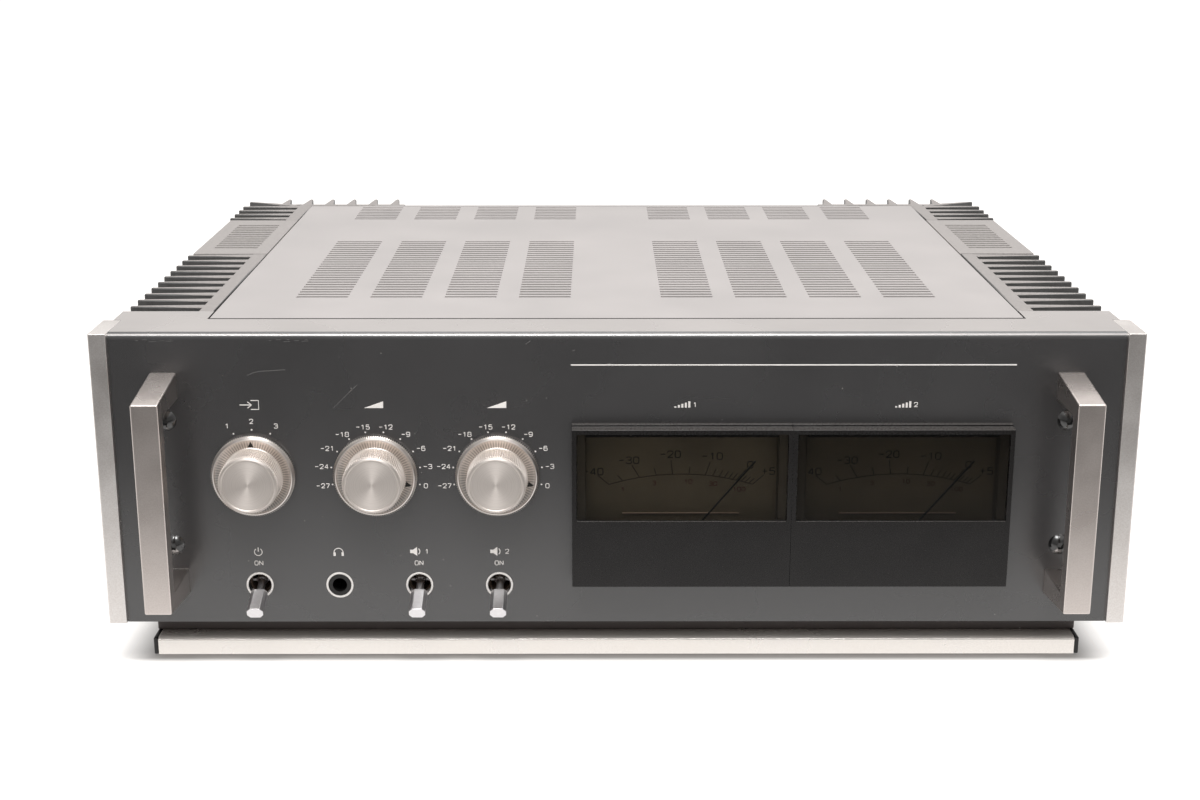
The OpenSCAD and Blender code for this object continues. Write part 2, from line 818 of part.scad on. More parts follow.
// Button-head screws that hold the panel to the front brackets
module panel_screws() {
    head_r = screw_head_d / 2;
    dome_r = (head_r * head_r + screw_head_h * screw_head_h) / (2 * screw_head_h);
    color("black")
        placed()
            both_sides()
                for (z = screw_z)
                    facing_front(handle_x, 0, z) {
                        difference() {
                            intersection() {
                                cylinder(r = head_r, h = screw_head_h);
                                translate([0, 0, screw_head_h - dome_r])
                                    sphere(dome_r);
                            }
                            translate([0, 0, screw_head_h - screw_hex_depth])
                                cylinder(d = screw_hex / cos(30), h = screw_hex_depth + cut, $fn = 6);
                        }
                        translate([0, 0, -panel_t - bracket_t])
                            cylinder(d = screw_d, h = panel_t + bracket_t);
                    }
}

// Angle that ties the panel to a front heatsink
module front_bracket_shape() {
    low = [base_x - bracket_t, panel_t, bracket_z];
    difference() {
        union() {
            span_box(low, [handle_x + bracket_edge, panel_t + bracket_t, bracket_top]);
            span_box(low, [base_x, panel_t + bracket_d, bracket_top]);
        }
        for (z = screw_z)
            facing_front(handle_x, panel_t + bracket_t + cut, z)
                cylinder(d = screw_d + 2 * fit_gap, h = bracket_t + 2 * cut);
        for (z = bolt_z)
            facing_front(handle_x, panel_t + bracket_t + cut, z)
                cylinder(d = handle_bolt_d + 2 * hole_gap, h = bracket_t + 2 * cut);
    }
}

module front_bracket_left() {
    color("gainsboro")
        placed()
            mirror([1, 0, 0])
                front_bracket_shape();
}

module front_bracket_right() {
    color("gainsboro")
        placed()
            front_bracket_shape();
}

// Round opening through the sub-panel
module sub_hole(x, z, d) {
    facing_front(x, sub_back + cut, z)
        cylinder(d = d, h = sub_t + 2 * cut);
}

module sub_panel() {
    color("lightgray")
        placed()
            difference() {
                union() {
                    span_box([-sub_half, sub_y, sink_z], [sub_half, sub_back, sub_top]);
                    span_box([-sub_half, sub_y, sink_z], [sub_half, sub_back + sub_foot, sink_z + sub_t]);
                }
                for (x = knob_x)
                    sub_hole(x, knob_z, bushing_d + 2 * fit_gap);
                for (x = toggle_x)
                    sub_hole(x, row_z, collar_d + 2 * fit_gap);
                sub_hole(jack_x, row_z, row_hole_d);
                span_box([jack_x - jack_w / 2 - hole_gap, sub_back, sink_z - cut],
                         [jack_x + jack_w / 2 + hole_gap, sub_back + sub_foot + cut, sink_z + sub_t + cut]);
            }
}

// One bank of vent slots, counted backwards from depth y
module slot_bank(y, count, length) {
    for (i = [0 : count - 1])
        translate([0, y + i * slot_pitch])
            square([length, slot_w], center = true);
}

// The columns of vent slots on both sides of the middle
module slot_columns_at(y, count) {
    for (side = [-1, 1], column = [0 : slot_columns - 1])
        translate([side * (slot_inner_x + column * slot_column_pitch), 0])
            slot_bank(y, count, slot_len);
}

module top_cover() {
    half = base_x - cover_gap;
    front = top_strip_d + cover_gap;
    back = well_back - cover_gap;
    lip_front = top_strip_d + 2 * ledge_d;
    lip_back = well_back - 2 * rear_fold;
    color("lightgray")
        placed() {
            translate([0, 0, panel_h - cover_t])
                linear_extrude(cover_t)
                    difference() {
                        translate([-half, front])
                            square([2 * half, back - front]);
                        slot_columns_at(slot_front_y, slot_front_count);
                        slot_columns_at(slot_rear_y, slot_rear_count);
                    }
            both_sides()
                span_box([half - cover_t, lip_front, lip_low],
                         [half, lip_back, panel_h - cover_t / 2]);
        }
}

// Tapered fin with a rounded tip, growing along +X from its root
module fin_outline(length) {
    neck = length - fin_tip / 2;
    polygon([
        [0, -fin_root / 2],
        [neck, -fin_tip / 2],
        [neck, fin_tip / 2],
        [0, fin_root / 2]
    ]);
    translate([neck, 0])
        circle(d = fin_tip);
}

// A row of side fins, counted backwards from depth y
module side_fin_row(y, count) {
    for (i = [0 : count - 1])
        translate([base_out, y + i * fin_pitch])
            fin_outline(fin_len);
}

module heatsink_front_shape() {
    translate([0, 0, sink_z])
        linear_extrude(sink_h) {
            translate([base_x, shoulder_d])
                square([base_t, front_sink_d]);
            side_fin_row(shoulder_d + fin_first, front_fins);
        }
}

module heatsink_front_left() {
    color("dimgray")
        placed()
            mirror([1, 0, 0])
                heatsink_front_shape();
}

module heatsink_front_right() {
    color("dimgray")
        placed()
            heatsink_front_shape();
}

// Open-bottomed duct with a slotted top
module vent_block_shape() {
    mid_x = base_x + block_w / 2;
    first_slot = block_y + block_d / 2 - (block_slots - 1) * slot_pitch / 2;
    difference() {
        span_box([base_x, block_y, sink_z], [base_x + block_w, block_y + block_d, panel_h]);
        span_box([base_x + block_wall, block_y + block_wall, sink_z - cut],
                 [base_x + block_w - block_wall, block_y + block_d - block_wall, panel_h - block_wall]);
        translate([mid_x, 0, panel_h - block_wall - cut])
            linear_extrude(block_wall + 2 * cut)
                slot_bank(first_slot, block_slots, block_slot_len);
    }
}

module vent_block_left() {
    color("gray")
        placed()
            mirror([1, 0, 0])
                vent_block_shape();
}

module vent_block_right() {
    color("gray")
        placed()
            vent_block_shape();
}

// Side base, rear wall, side fins, corner fin and backward fins
module heatsink_rear_outline() {
    translate([base_x, rear_y])
        square([base_t, rear_wall_back - rear_y]);
    translate([rear_wall_x, rear_face])
        square([rear_wall_end - rear_wall_x, rear_wall_t]);
    side_fin_row(rear_y + rear_fin_first, rear_side_fins);
    translate([base_out, rear_face])
        rotate(corner_fin_turn)
            fin_outline(corner_fin_len);
    for (i = [0 : rear_fins - 1])
        translate([rear_fin_x + i * fin_pitch, rear_wall_back])
            rotate(90)
                fin_outline(rear_fin_len);
}

module heatsink_rear_shape() {
    difference() {
        translate([0, 0, sink_z])
            linear_extrude(sink_h)
                heatsink_rear_outline();
        for (z = rear_screw_z)
            facing_back(rear_screw_x, rear_face - cut, z)
                cylinder(d = rear_screw_d + 2 * fit_gap, h = rear_wall_t + 2 * cut);
    }
}

module heatsink_rear_left() {
    color("dimgray")
        placed()
            mirror([1, 0, 0])
                heatsink_rear_shape();
}

module heatsink_rear_right() {
    color("dimgray")
        placed()
            heatsink_rear_shape();
}

// Places of the speaker sockets: inner column or outer column on each side
module each_post(offset) {
    for (side = [-1, 1], z = post_z)
        translate([side * (post_x + offset), 0, z])
            children();
}

// Round opening through the rear panel
module rear_hole(x, z, d) {
    facing_back(x, well_back - cut, z)
        cylinder(d = d, h = rear_t + 2 * cut);
}

module rear_panel() {
    inlet_half_w = inlet_w / 2 + inlet_wall + fit_gap;
    inlet_half_h = inlet_h / 2 + inlet_wall + fit_gap;
    color("dimgray")
        placed()
            difference() {
                union() {
                    span_box([-rear_half, well_back, sink_z], [rear_half, rear_face, panel_h]);
                    span_box([-rear_half, well_back - rear_fold, panel_h - cover_t - rear_t],
                             [rear_half, well_back, panel_h - cover_t]);
                }
                for (offset = [0, post_spacing])
                    each_post(offset)
                        rear_hole(0, 0, post_body_d + 2 * fit_gap);
                for (x = phono_x, z = phono_z)
                    rear_hole(x, z, phono_d + 2 * fit_gap);
                rear_hole(inlet_x, fuse_z, fuse_d + 2 * fit_gap);
                span_box([inlet_x - inlet_half_w, well_back - cut, inlet_z - inlet_half_h],
                         [inlet_x + inlet_half_w, rear_face + cut, inlet_z + inlet_half_h]);
                both_sides()
                    for (z = rear_screw_z)
                        rear_hole(rear_screw_x, z, rear_screw_d + 2 * hole_gap);
            }
}

// Screws from inside the rear panel into the rear heatsinks
module rear_panel_screws() {
    color("silver")
        placed()
            both_sides()
                for (z = rear_screw_z)
                    facing_back(rear_screw_x, well_back - rear_screw_head_h, z) {
                        difference() {
                            cylinder(d = rear_screw_head_d, h = rear_screw_head_h);
                            translate([0, 0, -cut])
                                cylinder(d = rear_screw_d / 2, h = rear_screw_head_h / 2 + cut, $fn = 6);
                        }
                        cylinder(d = rear_screw_d, h = rear_screw_head_h + rear_t + rear_wall_t);
                    }
}

module bottom_plate() {
    color("gray")
        placed()
            difference() {
                span_box([-base_out, panel_t, bottom_z], [base_out, rear_face, bottom_z + bottom_t]);
                translate([0, ring_y, bottom_z - cut])
                    cylinder(d = clamp_bolt_d + 2 * fit_gap, h = bottom_t + 2 * cut);
            }
}

// Flat ring inside the plinth's outline
module plinth_ring(width, low, high) {
    difference() {
        span_box([-plinth_half, plinth_y, low], [plinth_half, plinth_y + plinth_d, high]);
        span_box([width - plinth_half, plinth_y + width, low - cut],
                 [plinth_half - width, plinth_y + plinth_d - width, high + cut]);
    }
}

module plinth() {
    color([0.2, 0.19, 0.18])
        placed() {
            plinth_ring(plinth_upper, bottom_z - plinth_t, bottom_z);
            plinth_ring(plinth_t, -plinth_drop, bottom_z);
            plinth_ring(plinth_lower, -plinth_drop, plinth_t - plinth_drop);
        }
}

// Foot rail whose front face lies at depth y
module rail_shape(y) {
    across(0, 2 * rail_half)
        translate([y, rail_z])
            polygon([
                [trim_edge, 0],
                [rail_d - trim_edge, 0],
                [rail_d, trim_edge],
                [rail_d, rail_h],
                [trim_edge, rail_h],
                [0, rail_h - trim_edge],
                [0, trim_edge]
            ]);
}

module front_rail() {
    color("silver")
        placed()
            rail_shape(plinth_y - rail_proud);
}

module rear_rail() {
    color("silver")
        placed()
            rail_shape(rear_rail_y);
}

module rail_end_caps() {
    color([0.15, 0.15, 0.15])
        placed()
            both_sides()
                for (y = [plinth_y - rail_proud, rear_rail_y])
                    span_box([rail_half, y, rail_z], [rail_half + cap_t, y + rail_d, rail_z + rail_h]);
}

module foot_strips() {
    color([0.1, 0.1, 0.1])
        placed()
            for (y = [plinth_y - rail_proud, rear_rail_y])
                translate([-strip_half, y + (rail_d - strip_w) / 2, rail_z - strip_t])
                    cube([2 * strip_half, strip_w, strip_t]);
}

// Turned knob: dished skirt, grip and rimmed face, growing out from its back
module knob_profile() {
    skirt_r = skirt_d / 2;
    grip_r = grip_d / 2;
    polygon([
        [0, 0],
        [skirt_r - knob_dish, 0],
        [skirt_r, knob_dish],
        [skirt_r, skirt_t - knob_dish],
        [skirt_r - knob_dish, skirt_t],
        [grip_r, skirt_t - 2 * knob_dish],
        [grip_r, knob_h - knob_dish],
        [grip_r - knob_dish, knob_h],
        [grip_r - knob_rim, knob_h],
        [grip_r - knob_rim - knob_dish, knob_h - knob_dish],
        [0, knob_h - knob_dish]
    ]);
}

module knob_shape(x) {
    color("silver")
        placed()
            facing_front(x, -knob_gap, knob_z)
                difference() {
                    rotate_extrude()
                        knob_profile();
                    translate([0, 0, -cut])
                        cylinder(d = shaft_d + 2 * fit_gap, h = shaft_in_knob + fit_gap + cut);
                }
}

module input_knob() {
    knob_shape(knob_x[0]);
}

module left_level_knob() {
    knob_shape(knob_x[1]);
}

module right_level_knob() {
    knob_shape(knob_x[2]);
}

// Control shaft from inside its control to inside its knob
module shaft_shape(x) {
    color("gainsboro")
        placed()
            facing_front(x, sub_back + shaft_in_control, knob_z)
                cylinder(d = shaft_d, h = shaft_in_control + sub_back + knob_gap + shaft_in_knob);
}

module input_shaft() {
    shaft_shape(knob_x[0]);
}

module left_level_shaft() {
    shaft_shape(knob_x[1]);
}

module right_level_shaft() {
    shaft_shape(knob_x[2]);
}

// Threaded bushing in the sub-panel, in front of a control that starts at its back
module control_bushing() {
    translate([0, 0, -cut])
        cylinder(d = bushing_d, h = sub_t + bushing_reach + cut);
}

// Running bore of a control's shaft
module control_bore() {
    translate([0, 0, -shaft_in_control - run_gap])
        cylinder(d = shaft_d + 2 * run_gap,
                 h = shaft_in_control + run_gap + sub_t + bushing_reach + cut);
}

module input_selector() {
    color("tan")
        placed()
            facing_front(knob_x[0], sub_back, knob_z)
                difference() {
                    union() {
                        control_bushing();
                        translate([-selector_body / 2, -selector_body / 2, -(wafers + 1) * wafer_pitch])
                            cube([selector_body, selector_body, (wafers + 1) * wafer_pitch]);
                        for (i = [1 : wafers])
                            translate([0, 0, -i * wafer_pitch - wafer_t])
                                cylinder(d = selector_d, h = wafer_t);
                    }
                    control_bore();
                }
}

module level_controls() {
    color("darkgray")
        placed()
            for (i = [1, 2])
                facing_front(knob_x[i], sub_back, knob_z)
                    difference() {
                        union() {
                            control_bushing();
                            translate([0, 0, -level_can_l])
                                cylinder(d = level_can_d, h = level_can_l);
                        }
                        control_bore();
                    }
}

module bushing_nuts() {
    color("silver")
        placed()
            for (x = knob_x)
                facing_front(x, sub_y, knob_z)
                    difference() {
                        cylinder(d = nut_w / cos(30), h = nut_t, $fn = 6);
                        translate([0, 0, -cut])
                            cylinder(d = bushing_d + 2 * fit_gap, h = nut_t + 2 * cut);
                    }
}

// Flattened paddle with cut corners
module paddle_outline() {
    half_w = paddle_w / 2;
    half_t = paddle_t / 2;
    polygon([
        [paddle_cut - half_w, -half_t],
        [half_w - paddle_cut, -half_t],
        [half_w, paddle_cut - half_t],
        [half_w, half_t - paddle_cut],
        [half_w - paddle_cut, half_t],
        [paddle_cut - half_w, half_t],
        [-half_w, half_t - paddle_cut],
        [-half_w, paddle_cut - half_t]
    ]);
}

// Lever with its ball, pivot pin, stem, paddle and tail, slanting down
module lever_shape(x) {
    pin_l = collar_d - 2 * fit_gap;
    color("silver")
        placed()
            translate([x, pivot_y, row_z])
                rotate([lever_slant, 0, 0])
                    rotate([90, 0, 0]) {
                        sphere(d = ball_d);
                        cylinder(d = stem_d, h = paddle_start + cut);
                        translate([0, 0, -tail_len])
                            cylinder(d = tail_d, h = tail_len);
                        translate([0, 0, paddle_start])
                            linear_extrude(paddle_len)
                                paddle_outline();
                        translate([-pin_l / 2, 0, 0])
                            rotate([0, 90, 0])
                                cylinder(d = pivot_pin_d, h = pin_l);
                    }
}

module power_lever() {
    lever_shape(toggle_x[0]);
}

module speaker_a_lever() {
    lever_shape(toggle_x[1]);
}

module speaker_b_lever() {
    lever_shape(toggle_x[2]);
}

// Switch body behind the sub-panel, with the collar that carries the pivot pin
module toggle_switches() {
    color([0.25, 0.24, 0.23])
        placed()
            for (x = toggle_x) {
                difference() {
                    facing_front(x, sub_back, row_z)
                        cylinder(d = collar_d, h = sub_back - collar_front);
                    facing_front(x, sub_back + cut, row_z)
                        cylinder(d = collar_d - 2 * collar_wall, h = sub_back + 2 * cut);
                    translate([x - collar_d, pivot_y, row_z])
                        rotate([0, 90, 0])
                            cylinder(d = pivot_pin_d + 2 * run_gap, h = 2 * collar_d);
                }
                translate([x - switch_w / 2, sub_back, row_z - switch_h / 2])
                    cube([switch_w, switch_d, switch_h]);
            }
}

module phones_socket() {
    color([0.12, 0.12, 0.12])
        placed()
            difference() {
                union() {
                    facing_front(jack_x, sub_back, row_z)
                        cylinder(d = row_hole_d - 2 * fit_gap, h = sub_back);
                    span_box([jack_x - jack_w / 2, sub_back, sink_z + fit_gap],
                             [jack_x + jack_w / 2, sub_back + jack_bore_l,
                              row_z + jack_bore_d / 2 + jack_wall]);
                }
                facing_front(jack_x, jack_bore_l, row_z)
                    cylinder(d = jack_bore_d, h = jack_bore_l + cut);
            }
}

// Front flange and stepped front of a meter, about its middle
module meter_front() {
    half = meter_w / 2;
    span_box([-half, -meter_flange, meter_z], [half, 0, meter_z + meter_h]);
    span_box([-half, -meter_proud, meter_z + meter_step],
             [half, -meter_flange, meter_z + meter_h - meter_step]);
}

module meter_housing_shape(x) {
    color([0.17, 0.16, 0.16])
        placed()
            translate([x, 0, 0])
                difference() {
                    union() {
                        meter_front();
                        span_box([-case_w / 2, -meter_flange, case_z],
                                 [case_w / 2, case_d, case_z + case_h]);
                    }
                    span_box([-room_w / 2, meter_wall - meter_proud, room_z],
                             [room_w / 2, room_back, room_z + room_h]);
                    span_box([-window_w / 2, -meter_proud - cut, meter_z + window_z],
                             [window_w / 2, lens_sunk + lens_t - meter_proud,
                              meter_z + window_z + window_h]);
                }
}

module meter_housing_left() {
    meter_housing_shape(meter_x[0]);
}

module meter_housing_right() {
    meter_housing_shape(meter_x[1]);
}

module lens_shape(x) {
    color([0.3, 0.26, 0.2, 0.5])
        placed()
            span_box([x - window_w / 2 + fit_gap, lens_sunk - meter_proud, meter_z + window_z + fit_gap],
                     [x + window_w / 2 - fit_gap, lens_sunk + lens_t - meter_proud,
                      meter_z + window_z + window_h - fit_gap]);
}

module meter_lens_left() {
    lens_shape(meter_x[0]);
}

module meter_lens_right() {
    lens_shape(meter_x[1]);
}

module dial_shape(x) {
    color([0.2, 0.18, 0.13])
        placed()
            span_box([x - room_w / 2 + fit_gap, dial_y, meter_z + dial_low],
                     [x + room_w / 2 - fit_gap, dial_y + dial_t, room_z + room_h - fit_gap]);
}

module meter_dial_left() {
    dial_shape(meter_x[0]);
}

module meter_dial_right() {
    dial_shape(meter_x[1]);
}

// Needle with its counterweight tail, hub and spindle, at its resting slant
module needle_shape(x) {
    color("black")
        placed()
            facing_front(x, needle_y, pivot_height)
                rotate(-needle_rest) {
                    translate([-needle_w / 2, -needle_tail, 0])
                        cube([needle_w, needle_len + needle_tail, needle_t]);
                    translate([-needle_w, -needle_tail, 0])
                        cube([2 * needle_w, needle_tail / 2, needle_t]);
                    cylinder(d = hub_d, h = needle_t);
                    translate([0, 0, -(movement_front - needle_y) - spindle_l])
                        cylinder(d = spindle_d, h = movement_front - needle_y + spindle_l + needle_t);
                }
}

module meter_needle_left() {
    needle_shape(meter_x[0]);
}

module meter_needle_right() {
    needle_shape(meter_x[1]);
}

// Magnet and coil block of each meter, with the spindle's running bore
module meter_movements() {
    color("darkgray")
        placed()
            for (x = meter_x)
                facing_back(x, movement_front, pivot_height)
                    difference() {
                        cylinder(d = movement_d, h = room_back - movement_front);
                        translate([0, 0, -cut])
                            cylinder(d = spindle_d + 2 * run_gap, h = spindle_l + run_gap + cut);
                    }
}

// Wound ring core with rounded edges
module power_transformer() {
    ring_w = (ring_d - ring_hole) / 2;
    color("goldenrod")
        placed()
            translate([0, ring_y, sink_z])
                rotate_extrude()
                    translate([ring_hole / 2, 0]) {
                        translate([0, ring_round])
                            square([ring_w, ring_h - 2 * ring_round]);
                        translate([ring_round, 0])
                            square([ring_w - 2 * ring_round, ring_h]);
                        for (x = [ring_round, ring_w - ring_round], z = [ring_round, ring_h - ring_round])
                            translate([x, z])
                                circle(ring_round);
                    }
}

// Clamp plate on the transformer and the bolt down to the bottom plate
module transformer_clamp() {
    color("silver")
        placed()
            translate([0, ring_y, 0]) {
                translate([0, 0, ring_clamp_z])
                    cylinder(d = clamp_d, h = clamp_t);
                translate([0, 0, ring_clamp_z + clamp_t])
                    cylinder(d = 2 * clamp_bolt_d, h = clamp_bolt_d / 2, $fn = 6);
                translate([0, 0, bottom_z])
                    cylinder(d = clamp_bolt_d, h = ring_clamp_z - bottom_z + cut);
            }
}

// Places of the four filter capacitors
module each_can() {
    for (side = [-1, 1], x = can_x)
        translate([side * x, can_y, sink_z])
            children();
}

module filter_capacitors() {
    color("steelblue")
        placed()
            each_can() {
                cylinder(d = can_d, h = can_h);
                for (side = [-1, 1])
                    translate([side * can_post_spacing / 2, 0, can_h - cut])
                        cylinder(d = can_post_d, h = can_post_h + cut);
            }
}

module capacitor_rings() {
    color("lightgray")
        placed()
            each_can()
                difference() {
                    cylinder(r = can_ring_r, h = can_ring_h);
                    translate([0, 0, -cut])
                        cylinder(d = can_d + 2 * fit_gap, h = can_ring_h + 2 * cut);
                }
}

module bridge_rectifier() {
    color("slategray")
        placed()
            translate([0, bridge_y, sink_z]) {
                translate([-bridge_w / 2, -bridge_w / 2, 0])
                    cube([bridge_w, bridge_w, bridge_h]);
                for (x = [-1, 1], y = [-1, 1])
                    translate([x * bridge_pin_spacing / 2, y * bridge_pin_spacing / 2, bridge_h - cut])
                        cylinder(d = bridge_pin_d, h = bridge_pin_h + cut);
            }
}

// Board on spacers beside a front heatsink, with its tall parts facing inwards
module amplifier_board_shape() {
    translate([board_x, board_y, board_z]) {
        cube([board_t, board_l, board_h]);
        for (y = [spacer_edge, board_l - spacer_edge], z = [spacer_edge, board_h - spacer_edge])
            translate([board_t, y, z])
                rotate([0, 90, 0])
                    cylinder(d = spacer_d, h = spacer_l);
        for (i = [1 : 4])
            translate([0, i * board_l / 5, board_h / 3])
                rotate([0, -90, 0])
                    cylinder(d = part_can_d, h = part_can_h);
        for (i = [1 : 3])
            translate([-part_sink_h, i * board_l / 4 - part_sink_w / 2, 2 * board_h / 3])
                cube([part_sink_h, part_sink_w, part_sink_t]);
    }
}

module amplifier_boards() {
    color("darkgreen")
        placed()
            both_sides()
                amplifier_board_shape();
}

// Oval flange of an output transistor: round middle, narrow screw ends
module flange_outline() {
    reach = (flange_l - flange_end) / 2;
    circle(d = transistor_d + 2 * flange_t);
    polygon([
        [-reach, -flange_end / 2],
        [0, -transistor_d / 2],
        [reach, -flange_end / 2],
        [reach, flange_end / 2],
        [0, transistor_d / 2],
        [-reach, flange_end / 2]
    ]);
    for (x = [-reach, reach])
        translate([x, 0])
            circle(d = flange_end);
}

// Power transistors on the inner face of each front heatsink
module output_transistors() {
    color("silver")
        placed()
            both_sides()
                for (i = [1, 2], z = [board_z + board_h / 4, board_z + 3 * board_h / 4])
                    translate([base_x, board_y + spacer_edge + i * (board_l - 2 * spacer_edge) / 3, z])
                        rotate([0, -90, 0]) {
                            linear_extrude(flange_t)
                                flange_outline();
                            cylinder(d = transistor_d, h = flange_t + transistor_h);
                        }
}

// Four-millimetre socket with a collar outside and a body inside the panel
module speaker_socket() {
    facing_back(0, rear_face, 0)
        difference() {
            union() {
                cylinder(d = post_d, h = post_reach);
                translate([0, 0, -rear_t - post_body_l])
                    cylinder(d = post_body_d, h = rear_t + post_body_l + cut);
            }
            translate([0, 0, post_reach - post_bore_l])
                cylinder(d = post_bore_d, h = post_bore_l + cut);
        }
}

module speaker_sockets_red() {
    color("firebrick")
        placed()
            each_post(0)
                speaker_socket();
}

module speaker_sockets_black() {
    color([0.1, 0.1, 0.1])
        placed()
            each_post(post_spacing)
                speaker_socket();
}

module input_sockets() {
    color("gold")
        placed()
            for (x = phono_x, z = phono_z)
                facing_back(x, rear_face, z)
                    difference() {
                        union() {
                            cylinder(d = phono_flange_d, h = phono_flange_t);
                            translate([0, 0, -rear_t - phono_body_l])
                                cylinder(d = phono_d, h = rear_t + phono_body_l + phono_reach);
                        }
                        cylinder(d = phono_bore_d, h = phono_reach + cut);
                    }
}

// Appliance inlet: flange, case, cavity and three contact pins
module mains_inlet() {
    half_w = inlet_w / 2;
    half_h = inlet_h / 2;
    face = rear_face + inlet_flange_t;
    floor_y = face - inlet_d;
    rim = inlet_wall + inlet_flange;
    color([0.1, 0.1, 0.1])
        placed()
            translate([inlet_x, 0, inlet_z]) {
                difference() {
                    union() {
                        span_box([-half_w - rim, rear_face, -half_h - rim],
                                 [half_w + rim, face, half_h + rim]);
                        span_box([-half_w - inlet_wall, floor_y - inlet_wall, -half_h - inlet_wall],
                                 [half_w + inlet_wall, face, half_h + inlet_wall]);
                    }
                    span_box([-half_w, floor_y, -half_h], [half_w, face + cut, half_h]);
                }
                for (spot = [[-pin_x, -pin_rise], [0, pin_rise], [pin_x, -pin_rise]])
                    translate([spot[0] - pin_t / 2, floor_y - inlet_wall / 2, spot[1]])
                        cube([pin_t, pin_l + inlet_wall / 2, pin_w]);
            }
}

module fuse_holder() {
    color([0.12, 0.12, 0.12])
        placed()
            facing_back(inlet_x, rear_face, fuse_z)
                difference() {
                    union() {
                        cylinder(d = fuse_cap_d, h = fuse_cap_h);
                        translate([0, 0, -rear_t - fuse_l])
                            cylinder(d = fuse_d, h = rear_t + fuse_l + cut);
                    }
                    translate([-fuse_d / 2, -fuse_slot / 2, fuse_cap_h - fuse_slot])
                        cube([fuse_d, fuse_slot, fuse_slot + cut]);
                }
}

front_panel();
side_trim_left();
side_trim_right();
handle_left();
handle_right();
handle_bolts();
panel_screws();
front_bracket_left();
front_bracket_right();
sub_panel();
top_cover();
heatsink_front_left();
heatsink_front_right();
vent_block_left();
vent_block_right();
heatsink_rear_left();
heatsink_rear_right();
rear_panel();
rear_panel_screws();
bottom_plate();
plinth();
front_rail();
rear_rail();
rail_end_caps();
foot_strips();
input_knob();
left_level_knob();
right_level_knob();
input_shaft();
left_level_shaft();
right_level_shaft();
input_selector();
level_controls();
bushing_nuts();
power_lever();
speaker_a_lever();
speaker_b_lever();
toggle_switches();
phones_socket();
meter_housing_left();
meter_housing_right();
meter_lens_left();
meter_lens_right();
meter_dial_left();
meter_dial_right();
meter_needle_left();
meter_needle_right();
meter_movements();
power_transformer();
transformer_clamp();
filter_capacitors();
capacitor_rings();
bridge_rectifier();
amplifier_boards();
output_transistors();
speaker_sockets_red();
speaker_sockets_black();
input_sockets();
mains_inlet();
fuse_holder();
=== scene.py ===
"""Looks of a stereo power amplifier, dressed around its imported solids.

Lengths in the classes are millimetres in the front panel's frame: x from the panel's middle,
y back from its face and z up from its lower edge. spot() turns them into metres in the part's
frame. Every finished piece keeps its place in its mesh.
"""

import json
import logging
import math
from dataclasses import dataclass, field
from enum import Enum
from functools import partial
from typing import Any, Callable

import bmesh
import bpy
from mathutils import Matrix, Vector

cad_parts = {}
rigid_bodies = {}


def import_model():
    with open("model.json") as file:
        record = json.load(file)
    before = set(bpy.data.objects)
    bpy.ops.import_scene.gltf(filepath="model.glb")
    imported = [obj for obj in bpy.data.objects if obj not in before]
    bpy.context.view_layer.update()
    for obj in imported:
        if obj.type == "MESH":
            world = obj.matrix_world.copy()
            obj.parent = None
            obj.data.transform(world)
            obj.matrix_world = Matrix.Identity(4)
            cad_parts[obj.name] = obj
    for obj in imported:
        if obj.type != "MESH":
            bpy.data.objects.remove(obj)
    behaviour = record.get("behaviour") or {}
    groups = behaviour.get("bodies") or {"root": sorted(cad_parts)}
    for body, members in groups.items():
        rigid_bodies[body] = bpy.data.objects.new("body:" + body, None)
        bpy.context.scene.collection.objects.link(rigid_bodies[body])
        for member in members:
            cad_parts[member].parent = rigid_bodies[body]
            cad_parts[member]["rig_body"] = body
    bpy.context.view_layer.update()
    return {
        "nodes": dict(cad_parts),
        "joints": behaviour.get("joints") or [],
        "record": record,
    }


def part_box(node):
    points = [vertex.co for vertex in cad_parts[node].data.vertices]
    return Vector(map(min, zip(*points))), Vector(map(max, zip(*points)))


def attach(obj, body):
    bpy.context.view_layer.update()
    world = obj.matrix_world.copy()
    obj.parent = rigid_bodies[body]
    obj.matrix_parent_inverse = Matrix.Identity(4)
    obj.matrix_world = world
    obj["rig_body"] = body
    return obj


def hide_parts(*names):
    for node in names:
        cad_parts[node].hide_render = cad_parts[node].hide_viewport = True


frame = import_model()

LOG = logging.getLogger("amplifier")
MM = 0.001
TINY = 0.01 * MM
MERGE_GAP = 0.002 * MM
NEARLY_FLAT = math.radians(0.5)
SHARP = math.radians(38)
WHITE = "#fffdfb"
PANEL_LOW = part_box("front_panel")[0]
PLINTH_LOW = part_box("plinth")[0]
CHASSIS = "chassis"
FACING_FRONT = (math.pi / 2, 0.0, 0.0)
FACING_BACK = (math.pi / 2, 0.0, math.pi)

Piece = bpy.types.Object
Colour = tuple[float, float, float, float]
Triple = tuple[float, float, float]
Pair = tuple[float, float]
Points = list[Pair]
Links = dict[str | int, Any] | list[Any]
Adder = Callable[..., bpy.types.NodeOutputs]


class Slot(Enum):
    """Finish slots of the part's record."""

    PANEL_PAINT = "anthracite_paint"
    COVER_PAINT = "cover_paint"
    HEATSINK = "heatsink_anodised"
    BARE_ALUMINIUM = "bare_aluminium"
    TURNED_ALUMINIUM = "turned_aluminium"
    BLACK_SCREW = "black_screw"
    ZINC_STEEL = "zinc_steel"
    METER_PLASTIC = "meter_plastic"
    SMOKED_LENS = "smoked_lens"
    DIAL_PRINT = "dial_print"
    NEEDLE_PAINT = "needle_paint"
    BLACK_PLASTIC = "black_plastic"
    RUBBER = "rubber"
    WINDING = "winding"
    CAPACITOR_SLEEVE = "capacitor_sleeve"
    BOARD = "board"
    PHENOLIC = "phenolic"
    RED_PLASTIC = "red_plastic"
    BRASS_PLATED = "brass_plated"


SLOTS = {row["node"]: Slot(row["material_slot"]) for row in frame["record"]["subparts"]}


